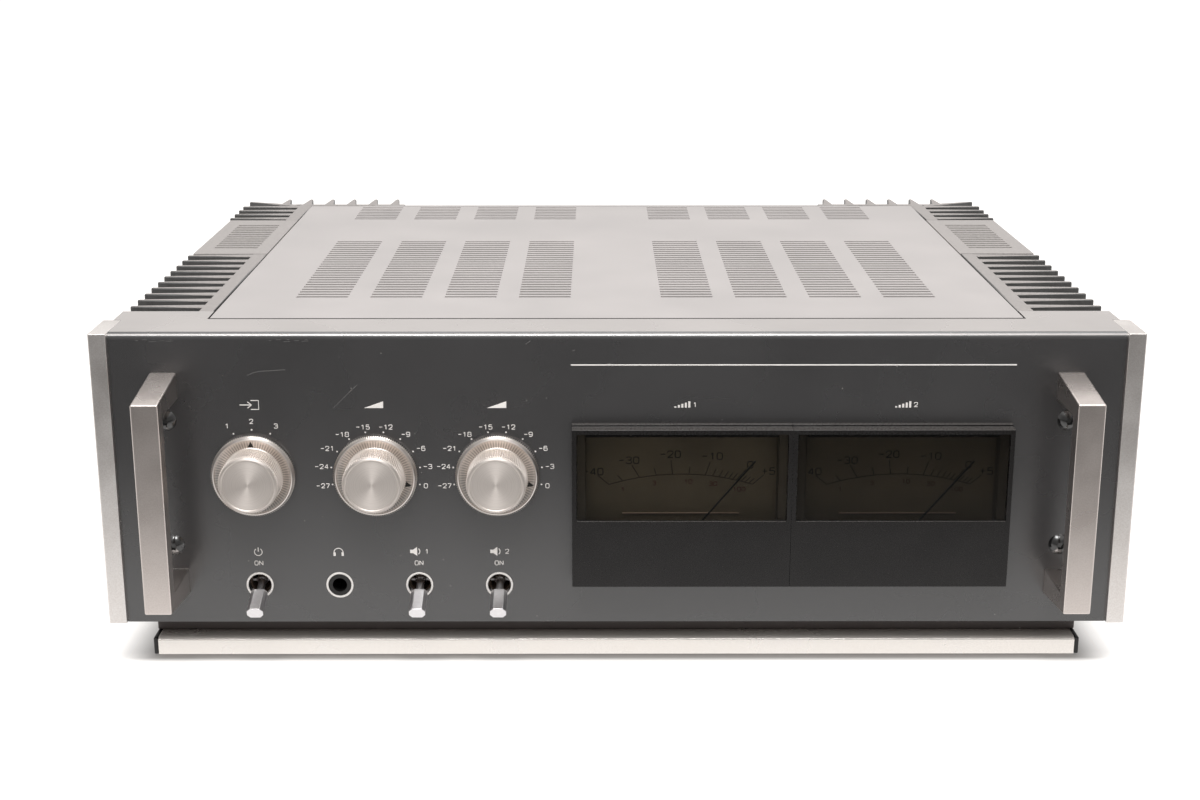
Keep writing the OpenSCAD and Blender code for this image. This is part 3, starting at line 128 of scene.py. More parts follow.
def spot(x: float, y: float, z: float) -> Vector:
    """Give the point in metres of a place in the panel's millimetres."""
    return Vector((x * MM, PANEL_LOW.y + y * MM, PANEL_LOW.z + z * MM))


def panel_place(point: Vector) -> Triple:
    """Give a point of the part's frame in the panel's millimetres."""
    return point.x / MM, (point.y - PANEL_LOW.y) / MM, (point.z - PANEL_LOW.z) / MM


def per_mm(size_mm: float) -> float:
    """Give the texture scale at which one cell of a pattern is size_mm wide."""
    return 1.0 / (size_mm * MM)


def around(value: float, spread: float) -> Pair:
    """Give the ends of the range about a value."""
    return value - spread, value + spread


def linear(code: str) -> Colour:
    """Turn an sRGB hex colour into linear light.

    Args:
        code: Six hexadecimal digits after a hash sign.

    Returns:
        Red, green, blue and an alpha of one.
    """
    shares = [int(code[i:i + 2], 16) / 255 for i in (1, 3, 5)]
    red, green, blue = (s / 12.92 if s <= 0.04045 else ((s + 0.055) / 1.055) ** 2.4 for s in shares)
    return red, green, blue, 1.0


def feed(tree: bpy.types.NodeTree, node: bpy.types.Node, links: Links) -> None:
    """Set or link a node's sockets.

    Args:
        tree: The node tree.
        node: The node whose sockets are fed.
        links: A constant, a hex colour or another node's output for each socket, by the socket's
            name or number, or in order from the first.
    """
    for key, value in links.items() if isinstance(links, dict) else enumerate(links):
        if isinstance(value, bpy.types.NodeSocket):
            tree.links.new(value, node.inputs[key])
        else:
            node.inputs[key].default_value = linear(value) if isinstance(value, str) else value


def add_node(tree: bpy.types.NodeTree, kind: str, links: Links | None = None,
             **settings) -> bpy.types.NodeOutputs:
    """Add a shader node with its settings and links.

    Args:
        tree: The node tree.
        kind: Blender's name of the node type, after the word that all shader nodes start with.
        links: What feeds its sockets.
        **settings: The node's own properties.

    Returns:
        The new node's outputs.
    """
    node = tree.nodes.new("ShaderNode" + kind)
    for name, value in settings.items():
        setattr(node, name, value)
    feed(tree, node, links or [])
    return node.outputs


def fresh() -> None:
    """Leave edit mode and deselect everything."""
    if bpy.context.mode != "OBJECT":
        bpy.ops.object.mode_set(mode="OBJECT")
    bpy.ops.object.select_all(action="DESELECT")


def only(piece: Piece) -> None:
    """Make a piece the one selected and active object.

    Args:
        piece: The piece.
    """
    fresh()
    piece.select_set(True)
    bpy.context.view_layer.objects.active = piece


def placed(piece: Piece, place: Vector, turn: Triple = (0.0, 0.0, 0.0)) -> Piece:
    """Turn a piece about the origin, move it to a place and keep both in its mesh.

    Args:
        piece: The piece, modelled about the origin.
        place: Where the origin goes, in metres.
        turn: Euler angles in radians.

    Returns:
        The same piece.
    """
    piece.rotation_euler = turn
    piece.location = place
    only(piece)
    bpy.ops.object.transform_apply(location=True, rotation=True, scale=True)
    return piece


def edit(piece: Piece) -> None:
    """Open a piece in edit mode with all its faces selected.

    Args:
        piece: The piece.
    """
    only(piece)
    bpy.ops.object.mode_set(mode="EDIT")
    bpy.ops.mesh.select_mode(type="FACE")
    bpy.ops.mesh.select_all(action="SELECT")


def pick(piece: Piece, kind: str, test: Callable[[Any], bool]) -> None:
    """Select the points, edges or faces that pass a test, in edit mode.

    Args:
        piece: The piece that is open in edit mode.
        kind: Blender's name of what is picked: VERT, EDGE or FACE.
        test: Takes a point, an edge or a face.
    """
    bpy.ops.mesh.select_mode(type=kind)
    bpy.ops.mesh.select_all(action="DESELECT")
    shape = bmesh.from_edit_mesh(piece.data)
    for part in {"VERT": shape.verts, "EDGE": shape.edges, "FACE": shape.faces}[kind]:
        if test(part):
            part.select_set(True)
    shape.select_flush_mode()
    bmesh.update_edit_mesh(piece.data)


def joined(name: str, parts: list[Piece]) -> Piece:
    """Join settled parts into one piece.

    Args:
        name: The piece's name.
        parts: The objects to join.

    Returns:
        The joined piece.
    """
    only(parts[0])
    for part in parts[1:]:
        part.select_set(True)
    if len(parts) > 1:
        bpy.ops.object.join()
    parts[0].name = name
    return parts[0]


def rounded(piece: Piece, width: float, segments: int = 2, limit: str = "ANGLE") -> Piece:
    """Round a piece's sharp edges and keep its flat faces flat.

    Args:
        piece: The piece.
        width: Width of the rounding in millimetres.
        segments: Steps round each edge.
        limit: Blender's name of what picks the edges, their angle or their weight.

    Returns:
        The same piece.
    """
    only(piece)
    bpy.ops.object.shade_smooth()
    bevel = piece.modifiers.new("rounding", "BEVEL")
    bevel.width = width * MM
    bevel.segments = segments
    bevel.limit_method = limit
    bevel.angle_limit = SHARP
    bevel.use_clamp_overlap = False
    bevel.miter_outer = "MITER_ARC"
    bevel.harden_normals = True
    bpy.ops.object.modifier_apply(modifier=bevel.name)
    return piece


def mounted(piece: Piece, finish: "Finish", body: str = CHASSIS) -> Piece:
    """Dress a finished piece and let it ride on a body.

    Args:
        piece: The piece, with its place in its mesh.
        finish: Its finish.
        body: The body that carries it.

    Returns:
        The same piece.
    """
    piece.data.materials.clear()
    piece.data.materials.append(finish.material())
    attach(piece, body)
    LOG.info("%s rides on %s", piece.name, body)
    return piece


def stand_in(piece: Piece, node: str, finish: "Finish | None" = None) -> None:
    """Let a finished piece stand for a solid, on its body.

    Args:
        piece: The piece, with its place in its mesh.
        node: The solid's name.
        finish: The piece's finish, where it isn't the solid's.
    """
    mounted(piece, finish or finish_of(node), frame["nodes"][node]["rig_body"])
    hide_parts(node)


def merged_copy(node: str) -> Piece:
    """Copy a solid, merge its points and join its flat faces; it stays open in edit mode.

    Args:
        node: The solid's name.

    Returns:
        The new piece.
    """
    fresh()
    piece = bpy.data.objects.new(node + "_dressed", frame["nodes"][node].data.copy())
    bpy.context.scene.collection.objects.link(piece)
    edit(piece)
    bpy.ops.mesh.remove_doubles(threshold=MERGE_GAP)
    bpy.ops.mesh.customdata_custom_splitnormals_clear()
    bpy.ops.mesh.dissolve_limited(angle_limit=NEARLY_FLAT)
    return piece


def softened(node: str, width: float) -> Piece:
    """Copy a solid and round its sharp edges.

    Args:
        node: The solid's name.
        width: Width of the rounding in millimetres.

    Returns:
        The new piece.
    """
    piece = merged_copy(node)
    bpy.ops.mesh.vert_connect_concave()
    return rounded(piece, width)


def crowned(node: str, width: float) -> Piece:
    """Copy a solid and round only the edges of its top.

    Args:
        node: The solid's name.
        width: Width of the rounding in millimetres.

    Returns:
        The new piece.
    """
    piece = merged_copy(node)
    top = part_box(node)[1].z - TINY

    def round_top(line: bmesh.types.BMEdge) -> bool:
        """Tell whether an edge is a sharp one of the top."""
        return line.calc_face_angle(0.0) > SHARP and min(point.co.z for point in line.verts) > top

    pick(piece, "EDGE", round_top)
    bpy.ops.transform.edge_bevelweight(value=1.0)
    return rounded(piece, width, limit="WEIGHT")


def box_piece(name: str, low: Vector, high: Vector) -> Piece:
    """Make a box between two corners.

    Args:
        name: The piece's name.
        low: Its lowest corner in metres.
        high: Its highest corner in metres.

    Returns:
        The box, with its place in its mesh.
    """
    fresh()
    bpy.ops.mesh.primitive_cube_add(size=1, scale=high - low)
    bpy.context.object.name = name
    return placed(bpy.context.object, (low + high) / 2)


def turned(name: str, rings: Points, sides: int) -> Piece:
    """Turn a closed solid about +Z.

    Args:
        name: The piece's name.
        rings: Radius and height of each ring from bottom to top, in millimetres.
        sides: Faces round the axis.

    Returns:
        The solid, about the origin.
    """
    fresh()
    radius, height = rings[0]
    bpy.ops.mesh.primitive_circle_add(vertices=sides, radius=radius * MM, fill_type="NGON")
    piece = placed(bpy.context.object, Vector((0.0, 0.0, height * MM)))
    piece.name = name
    edit(piece)
    for next_radius, next_height in rings[1:]:
        rise = (0.0, 0.0, (next_height - height) * MM)
        bpy.ops.mesh.extrude_region_move(TRANSFORM_OT_translate={"value": rise})
        share = next_radius / radius
        bpy.ops.transform.resize(value=(share, share, 1.0), center_override=(0.0, 0.0, next_height * MM))
        radius, height = next_radius, next_height
    bpy.ops.mesh.select_all(action="SELECT")
    bpy.ops.mesh.normals_make_consistent(inside=False)
    fresh()
    return piece


def ribbed_band(name: str, radius: float, rib: float, low: float, high: float, ribs: int) -> Piece:
    """Make a closed ring of flat-topped straight knurling about +Z.

    Args:
        name: The piece's name.
        radius: Radius over the ribs in millimetres.
        rib: Depth of the ribs.
        low: Height of the band's lower end.
        high: Height of its upper end.
        ribs: Ribs round the band.

    Returns:
        The band, about the origin.
    """
    inner = radius - rib
    steps = 3 * ribs
    piece = turned(name, [(inner, low), (radius, low + rib), (radius, high - rib), (inner, high)], steps)

    def in_groove(point: bmesh.types.BMVert) -> bool:
        """Tell whether a point is the third of its rib, away from the band's ends."""
        step = round(math.atan2(point.co.y, point.co.x) * steps / (2 * math.pi))
        return step % 3 == 2 and low + rib / 2 < point.co.z / MM < high - rib / 2

    edit(piece)
    pick(piece, "VERT", in_groove)
    bpy.ops.transform.resize(value=(inner / radius, inner / radius, 1.0), center_override=(0.0, 0.0, 0.0))
    fresh()
    return piece


COLOURS = {"data_type": "RGBA"}
# Most of a noise pattern lies in the first band, and nearly all of it in the second. A map range
# takes a value, the two ends of the band that it comes from, and the two that it goes to.
BAND = (0.3, 0.7)
WIDE_BAND = (0.1, 0.9)
ROUGH_SPREAD = 0.05


class Finish:
    """A surface finish that makes its material once."""

    name: str

    def material(self) -> bpy.types.Material:
        """Give the finish's material, made on the first call.

        Returns:
            The material.
        """
        if self.name not in bpy.data.materials:
            made = bpy.data.materials.new(self.name)
            made.use_nodes = True
            tree = made.node_tree
            feed(tree, tree.nodes["Principled BSDF"], self.wire(partial(add_node, tree)))
        return bpy.data.materials[self.name]

    def wire(self, add: Adder) -> dict:
        """Add the finish's own nodes.

        Args:
            add: Adds a node to the material and gives its outputs.

        Returns:
            What feeds the principled shader's sockets.
        """
        raise NotImplementedError


@dataclass(frozen=True)
class SprayedPaint(Finish):
    """Sprayed satin enamel on sheet metal: an even skin with faint orange peel, dust and rubbed marks.

    Upward faces take a colour of their own, painted for the light they catch (a light sheen on the face
    plate), and a band of the rounded edges is painted as a highlight.
    Peel and dust are finer than a pixel, so they are drawn as coarse as they need to show.
    """

    name: str
    face: str
    # Colour painted on the upward faces for the light they catch
    top: str
    roughness: float
    gloss: float
    # Colour of the highlight painted on a band of the rounded edges
    edge: str
    speck: str = "#b5b0ab"
    speck_share: float = 0.35
    speck_rim: Pair = (0.022, 0.034)
    peel: float = 0.06
    peel_mm: float = 0.9
    peel_deep_mm: float = 0.2
    cloud_mm: float = 45.0
    dust_mm: float = 11.0
    lit_top_faces: Pair = (0.985, 0.998)
    edge_highlight_faces: Pair = (0.7, 0.11)
    shade_spread: float = 0.12
    rough_spread: float = 0.07

    def wire(self, add: Adder) -> dict:
        """Add the paint's colour, dust, peel and satin coat.

        Args:
            add: Adds a node and gives its outputs.

        Returns:
            What feeds the shader.
        """
        coords = add("TexCoord")
        place = coords["Object"]
        up = add("SeparateXYZ", [coords["Normal"]])["Z"]
        # Painted light: upward faces take the top colour for the sheen they catch, upright ones the face
        # colour.
        lit_top_share = add("MapRange", [up, *self.lit_top_faces])[0]
        tone = add("Mix", {0: lit_top_share, 6: self.face, 7: self.top}, **COLOURS)[2]
        # Painted highlight: faces half-way between upright and flat, on the rounded edges, take the edge
        # colour.
        tilt = add("Math", [up], operation="ABSOLUTE")[0]
        edge_highlight = add("Math", [tilt, *self.edge_highlight_faces], operation="COMPARE")[0]
        tone = add("Mix", {0: edge_highlight, 6: tone, 7: self.edge}, **COLOURS)[2]
        cloud = add("TexNoise", {"Vector": place, "Scale": per_mm(self.cloud_mm), "Detail": 4.0})["Fac"]
        shade = add("MapRange", [cloud, *WIDE_BAND, *around(1.0, self.shade_spread)])[0]
        shaded = add("VectorMath", {0: tone, "Scale": shade}, operation="SCALE")[0]
        cells = add("TexVoronoi", {"Vector": place, "Scale": per_mm(self.dust_mm)})["Distance"]
        specks = add("MapRange", [cells, *self.speck_rim, self.speck_share, 0.0])[0]
        colour = add("Mix", {0: specks, 6: shaded, 7: self.speck}, **COLOURS)[2]
        rough = add("MapRange", [cloud, *WIDE_BAND, *around(self.roughness, self.rough_spread)])[0]
        peel = add("TexNoise", {"Vector": place, "Scale": per_mm(self.peel_mm), "Detail": 2.0})["Fac"]
        bump = add("Bump", {"Height": peel, "Strength": self.peel, "Distance": self.peel_deep_mm * MM})[0]
        return {"Base Color": colour, "Roughness": rough, "Normal": bump, "IOR": self.gloss}


@dataclass(frozen=True)
class BlastedMetal(Finish):
    """Metal with a fine blasted or plated grain: a soft sparkle and a cloudy sheen.

    Where a clear oxide skin scatters part of the light, less of it is bare, and dust dulls the
    upper faces that lie high and far out enough. The real grain is about a tenth of a millimetre,
    so it is drawn coarser to show.
    """

    name: str
    light: str
    dark: str
    roughness: float
    grain_mm: float = 0.55
    grain_deep_mm: float = 0.05
    cloud_mm: float = 24.0
    bump: float = 0.12
    bare: float = 1.0
    dust: float = 0.0
    dust_faces: Pair = (0.3, 0.95)
    dust_from_z: float = 0.0
    dust_from_y: float = 0.0
    dust_ramp_mm: float = 9.0
    sparkle: Pair = (0.7, 1.3)

    def wire(self, add: Adder) -> dict:
        """Add the metal's grain, cloud, dust and sheen.

        Args:
            add: Adds a node and gives its outputs.

        Returns:
            What feeds the shader.
        """
        coords = add("TexCoord")
        place = coords["Object"]
        grain = add("TexNoise", {"Vector": place, "Scale": per_mm(self.grain_mm), "Detail": 2.0})["Fac"]
        cloud = add("TexNoise", {"Vector": place, "Scale": per_mm(self.cloud_mm), "Detail": 3.0})["Fac"]
        mixed = add("Math", [grain, cloud], operation="ADD")[0]
        share = add("MapRange", [mixed, *self.sparkle])[0]
        colour = add("Mix", {0: share, 6: self.dark, 7: self.light}, **COLOURS)[2]
        rough = add("MapRange", [cloud, *BAND, *around(self.roughness, ROUGH_SPREAD)])[0]
        bump = add("Bump", {"Height": grain, "Strength": self.bump, "Distance": self.grain_deep_mm * MM})[0]
        up = add("SeparateXYZ", [coords["Normal"]])["Z"]
        dusty = add("MapRange", [up, *self.dust_faces, self.bare, self.bare - self.dust])[0]
        split = add("SeparateXYZ", [place])
        high = add("Math", [split["Z"], self.dust_from_z], operation="GREATER_THAN")[0]
        depth = add("Math", [split["Y"]], operation="ABSOLUTE")[0]
        ramp_end = self.dust_from_y + self.dust_ramp_mm * MM
        open_air = add("MapRange", [depth, self.dust_from_y, ramp_end, 0.0, high])[0]
        metal = add("Mix", {0: open_air, 2: self.bare, 3: dusty})[0]
        return {"Base Color": colour, "Roughness": rough, "Normal": bump, "Metallic": metal}


@dataclass(frozen=True)
class SpunMetal(Finish):
    """Clear anodised aluminium, spun on a lathe: fine rings that pull highlights into a fan.

    Outside the grip the skirt is polished, and the grip's ribs mirrored in it are painted on as dark streaks,
    up to its clear rim.
    The turning marks and painted streaks are about a pixel wide, so they are drawn as coarse as they need to
    show.
    """

    name: str
    centre: Triple
    grip_mm: float
    skirt_mm: float
    reflected_ribs: int
    light: str = "#f7f0ea"
    dark: str = "#e9e1db"
    roughness: float = 0.58
    polish: float = 0.3
    fan: float = 0.62
    fan_turn: float = 0.25
    ring_mm: float = 0.3
    rib_reflection_wave: Pair = (-1.0, 0.6)
    rib_reflection_shades: Pair = (0.42, 0.8)
    rim_mm: Pair = (3.0, 1.2)
    grip_edge_mm: float = 0.3

    def wire(self, add: Adder) -> dict:
        """Add the turning marks, the mirrored ribs and the fanned highlight.

        Args:
            add: Adds a node and gives its outputs.

        Returns:
            What feeds the shader.
        """
        place = add("TexCoord")["Object"]
        about = add("VectorMath", [place, self.centre], operation="SUBTRACT")[0]
        flat = add("VectorMath", [about, (1.0, 0.0, 1.0)], operation="MULTIPLY")[0]
        reach = add("VectorMath", [flat], operation="LENGTH")["Value"]
        rings = add("TexNoise", {"W": reach, "Scale": per_mm(self.ring_mm), "Detail": 3.0},
                    noise_dimensions="1D")["Fac"]
        share = add("MapRange", [rings, *BAND])[0]
        colour = add("Mix", {0: share, 6: self.dark, 7: self.light}, **COLOURS)[2]
        spun = add("MapRange", [rings, *BAND, *around(self.roughness, ROUGH_SPREAD)])[0]
        inside = add("Math", [reach, (self.grip_mm + self.grip_edge_mm) * MM], operation="LESS_THAN")[0]
        rough = add("Mix", {0: inside, 2: self.polish, 3: spun})[0]
        # Painted reflection: the grip's ribs, mirrored in the polished skirt, darken it in streaks up to the
        # clear rim.
        split = add("SeparateXYZ", [about])
        angle = add("Math", [split["X"], split["Z"]], operation="ARCTAN2")[0]
        turn = add("Math", [angle, float(self.reflected_ribs)], operation="MULTIPLY")[0]
        wave = add("Math", [turn], operation="SINE")[0]
        rib_reflection = add("MapRange", [wave, *self.rib_reflection_wave, *self.rib_reflection_shades])[0]
        rim_ends = [(self.skirt_mm - inset) * MM for inset in self.rim_mm]
        rim = add("MapRange", [reach, *rim_ends])[0]
        clear = add("Math", [rim, inside], operation="MAXIMUM")[0]
        shade = add("Mix", {0: clear, 2: rib_reflection, 3: 1.0})[0]
        colour = add("VectorMath", {0: colour, "Scale": shade}, operation="SCALE")[0]
        fan = add("Math", [inside, self.fan], operation="MULTIPLY")[0]
        tangent = add("Tangent", direction_type="RADIAL", axis="Y")[0]
        return {"Base Color": colour, "Roughness": rough, "Metallic": 1.0, "Anisotropic": fan,
                "Anisotropic Rotation": self.fan_turn, "Tangent": tangent}


@dataclass(frozen=True)
class AnodisedExtrusion(Finish):
    """Anodised aluminium from a die: upright draw lines, and a tone of its own painted on the upward faces
    for the light they catch.
    """

    name: str
    side: str
    painted_top_tone: str
    roughness: float = 0.42
    rough_spread: float = 0.06
    gloss: float = 1.7
    line_mm: float = 1.1
    line_length_mm: float = 260.0
    line_deep_mm: float = 0.05
    line_bump: float = 0.15
    line_shades: Pair = (0.85, 1.12)
    painted_top_faces: Pair = (0.9, 0.99)

    def wire(self, add: Adder) -> dict:
        """Add the draw lines, the sawn ends and the sheen.

        Args:
            add: Adds a node and gives its outputs.

        Returns:
            What feeds the shader.
        """
        coords = add("TexCoord")
        stretch = (per_mm(self.line_mm), per_mm(self.line_mm), per_mm(self.line_length_mm))
        drawn = add("Mapping", {"Vector": coords["Object"], "Scale": stretch})[0]
        lines = add("TexNoise", {"Vector": drawn, "Scale": 1.0, "Detail": 3.0})["Fac"]
        up = add("SeparateXYZ", [coords["Normal"]])["Z"]
        # Painted light: upward faces take a tone of their own for the light they catch, upright ones the side
        # tone.
        painted_top_share = add("MapRange", [up, *self.painted_top_faces])[0]
        tone = add("Mix", {0: painted_top_share, 6: self.side, 7: self.painted_top_tone}, **COLOURS)[2]
        shade = add("MapRange", [lines, *BAND, *self.line_shades])[0]
        colour = add("VectorMath", {0: tone, "Scale": shade}, operation="SCALE")[0]
        rough = add("MapRange", [lines, *BAND, *around(self.roughness, self.rough_spread)])[0]
        deep = self.line_deep_mm * MM
        bump = add("Bump", {"Height": lines, "Strength": self.line_bump, "Distance": deep})[0]
        return {"Base Color": colour, "Roughness": rough, "Normal": bump, "IOR": self.gloss}


@dataclass(frozen=True)
class Moulded(Finish):
    """Moulded, dipped or wrapped plastic and rubber: a fine eroded grain and a slightly uneven colour.

    Dust may pale the upper faces.
    """

    name: str
    light: str
    dark: str
    roughness: float
    grain_mm: float = 0.6
    cloud_mm: float = 18.0
    grain_deep_mm: float = 0.03
    gloss: float = 1.5
    dust: float = 0.0
    dust_colour: str = "#a8a39f"
    dust_faces: Pair = (0.4, 0.9)
    bump: float = 0.2

    def wire(self, add: Adder) -> dict:
        """Add the grain, the uneven colour, the dust and the sheen.

        Args:
            add: Adds a node and gives its outputs.

        Returns:
            What feeds the shader.
        """
        coords = add("TexCoord")
        place = coords["Object"]
        grain = add("TexNoise", {"Vector": place, "Scale": per_mm(self.grain_mm), "Detail": 2.0})["Fac"]
        cloud = add("TexNoise", {"Vector": place, "Scale": per_mm(self.cloud_mm), "Detail": 4.0})["Fac"]
        share = add("MapRange", [cloud, *BAND])[0]
        colour = add("Mix", {0: share, 6: self.dark, 7: self.light}, **COLOURS)[2]
        up = add("SeparateXYZ", [coords["Normal"]])["Z"]
        dusty = add("MapRange", [up, *self.dust_faces, 0.0, self.dust])[0]
        colour = add("Mix", {0: dusty, 6: colour, 7: self.dust_colour}, **COLOURS)[2]
        rough = add("MapRange", [grain, *BAND, *around(self.roughness, ROUGH_SPREAD)])[0]
        bump = add("Bump", {"Height": grain, "Strength": self.bump, "Distance": self.grain_deep_mm * MM})[0]
        return {"Base Color": colour, "Roughness": rough, "Normal": bump, "IOR": self.gloss}


@dataclass(frozen=True)
class SmokedAcrylic(Finish):
    """Smoked clear acrylic: a dark sheet that lets some of the dial show, with fine hazing."""

    name: str
    tint: str
    cover: float
    polish: Pair = (0.05, 0.13)
    haze_mm: float = 14.0
    gloss: float = 1.36

    def wire(self, add: Adder) -> dict:
        """Add the tint, the haze and the see-through share.

        Args:
            add: Adds a node and gives its outputs.

        Returns:
            What feeds the shader.
        """
        place = add("TexCoord")["Object"]
        haze = add("TexNoise", {"Vector": place, "Scale": per_mm(self.haze_mm), "Detail": 4.0})["Fac"]
        rough = add("MapRange", [haze, *BAND, *self.polish])[0]
        return {"Base Color": self.tint, "Roughness": rough, "Alpha": self.cover, "IOR": self.gloss}


TRIM_ALUMINIUM = BlastedMetal("blasted_aluminium", "#fdf9f6", "#ebe5e1", 0.36)
RAIL_ALUMINIUM = BlastedMetal("clear_anodised_rail_aluminium", "#fdf8f3", "#f6f0ea", 0.24, 0.8, bump=0.01,
                              bare=0.92, dust=0.85, dust_from_y=abs(PLINTH_LOW.y))
LEVER_CHROME = BlastedMetal("satin_chromed_steel", "#f8f6f7", "#efecee", 0.36, 1.5, bump=0.03)
# The vent blocks' upright slot walls are painted lighter than their tops, against the shade in the slots.
VENT_BLOCK = AnodisedExtrusion("anodised_pale_extrusion", "#b4afac", "#a39d9a")
DARKER_LENS = SmokedAcrylic("smoked_acrylic_darker", "#0b0907", 0.46)
# The dial's folded ends, painted darker than the dial for the shade round the window's edges.
SHADED_CARD_EDGE = Moulded("olive_card_edge_painted_shade", "#574d3c", "#4a4132", 0.6, 0.8, 30.0, 0.002)
LIGHT_BAR = Moulded("hazed_clear_light_bar", "#c3a58c", "#ad9079", 0.4)
DIAL_INK = Moulded("black_scale_ink", "#0f0d0b", "#080706", 0.6)
RED_INK = Moulded("red_scale_ink", "#5b1f16", "#481811", 0.6)
PRINT_INK = Moulded("white_screen_ink", "#f4f0ed", "#e6e2de", 0.55)
RUBBED_PAINT = Moulded("rubbed_grey_primer", "#6f6e6d", "#5a5958", 0.5)
POINTER_INK = Moulded("black_filled_pointer", "#161412", "#0c0b0a", 0.5)
# A black strip that stands for the shade in the cover's front seam.
SEAM_SHADE = Moulded("black_seam_shade_strip", "#161514", "#0d0c0c", 0.9, 0.5)

NODE_FINISH: dict[Slot, Finish] = {
    # On the face plate the light tops and the edge band are painted sheen and highlight; on the cover the
    # upright slot walls are painted a little lighter than the top, against the shade in the slots.
    Slot.PANEL_PAINT: SprayedPaint("sprayed_satin_anthracite", "#323132", "#aea8a5", 0.27, 2.0, "#b6b2b0"),
    Slot.COVER_PAINT: SprayedPaint("sprayed_satin_warm_grey", "#bcb6b4", "#b4aeac", 0.32, 1.9, "#bcb6b4"),
    # The heatsinks' upward faces are painted light for the sheen they catch, over dark upright faces.
    Slot.HEATSINK: AnodisedExtrusion("anodised_dark_extrusion", "#494847", "#9b9592"),
    Slot.BARE_ALUMINIUM: BlastedMetal("brushed_aluminium", "#f2e9e4", "#e3d9d3", 0.3, dust=0.24,
                                      dust_from_z=0.1),
    Slot.TURNED_ALUMINIUM: BlastedMetal("turned_clear_anodised_aluminium", "#dcd6d4", "#c4bcb9", 0.26),
    Slot.BLACK_SCREW: Moulded("oiled_black_oxide_steel", "#1b1a1a", "#111010", 0.16, grain_deep_mm=0.004,
                              gloss=1.9),
    Slot.ZINC_STEEL: BlastedMetal("zinc_plated_steel", "#c5c6c2", "#9fa09c", 0.34, 2.5),
    Slot.METER_PLASTIC: Moulded("moulded_black_meter_case", "#1b1919", "#161414", 0.28, grain_deep_mm=0.006,
                                gloss=1.43, dust=0.2),
    Slot.SMOKED_LENS: SmokedAcrylic("smoked_acrylic", "#0d0b08", 0.36),
    Slot.DIAL_PRINT: Moulded("printed_olive_dial_card", "#7d6f56", "#6b5f49", 0.6, 0.8, 30.0, 0.002),
    Slot.NEEDLE_PAINT: Moulded("black_pointer_enamel", "#141312", "#0b0a0a", 0.4),
    Slot.BLACK_PLASTIC: Moulded("moulded_black_plastic", "#1d1c1c", "#141313", 0.38),
    Slot.RUBBER: Moulded("moulded_black_rubber", "#1b1a1a", "#121111", 0.8, 1.0),
    Slot.WINDING: Moulded("wound_yellow_tape", "#b7902e", "#8c6a1c", 0.45, 5.0, 9.0, 0.3),
    Slot.CAPACITOR_SLEEVE: Moulded("shrunk_blue_sleeve", "#284a78", "#1d365a", 0.3, 3.0, 20.0),
    Slot.BOARD: Moulded("green_circuit_board", "#2c5c33", "#1c4023", 0.4, 1.5, 4.0),
    Slot.PHENOLIC: Moulded("brown_phenolic_sheet", "#8c6a45", "#6f5133", 0.5, 1.2, 6.0),
    Slot.RED_PLASTIC: Moulded("moulded_red_plastic", "#9c211b", "#7f1812", 0.32),
    Slot.BRASS_PLATED: BlastedMetal("plated_brass", "#d8b670", "#bd9850", 0.26, 1.5),
}

# Solids whose finish isn't the usual one of their slot.
OWN_FINISH: dict[str, Finish] = {
    "plinth": SprayedPaint("sprayed_matt_dark_brown", "#4b4341", "#4b4341", 0.5, 1.5, "#4b4341"),
    "side_trim_left": TRIM_ALUMINIUM,
    "side_trim_right": TRIM_ALUMINIUM,
    "front_rail": RAIL_ALUMINIUM,
    "rear_rail": RAIL_ALUMINIUM,
    "toggle_switches": Moulded("moulded_brown_switch_case", "#6f5d50", "#574839", 0.45),
    "vent_block_left": VENT_BLOCK,
    "vent_block_right": VENT_BLOCK,
}


def finish_of(node: str) -> Finish:
    """Give a solid's finish."""
    return OWN_FINISH.get(node, NODE_FINISH[SLOTS[node]])


LOOP: Points = [
    (0.25, 0.0), (0.75, 0.0), (0.93, 0.08), (1.0, 0.28), (1.0, 0.72), (0.93, 0.92), (0.75, 1.0),
    (0.25, 1.0), (0.07, 0.92), (0.0, 0.72), (0.0, 0.28), (0.07, 0.08), (0.25, 0.0)]
SIX: Points = [
    (0.94, 0.9), (0.75, 1.0), (0.25, 1.0), (0.06, 0.88), (0.0, 0.6), (0.0, 0.22), (0.07, 0.06), (0.25, 0.0),
    (0.75, 0.0), (0.93, 0.06), (1.0, 0.2), (1.0, 0.4), (0.93, 0.54), (0.75, 0.6), (0.25, 0.6), (0.0, 0.5)]
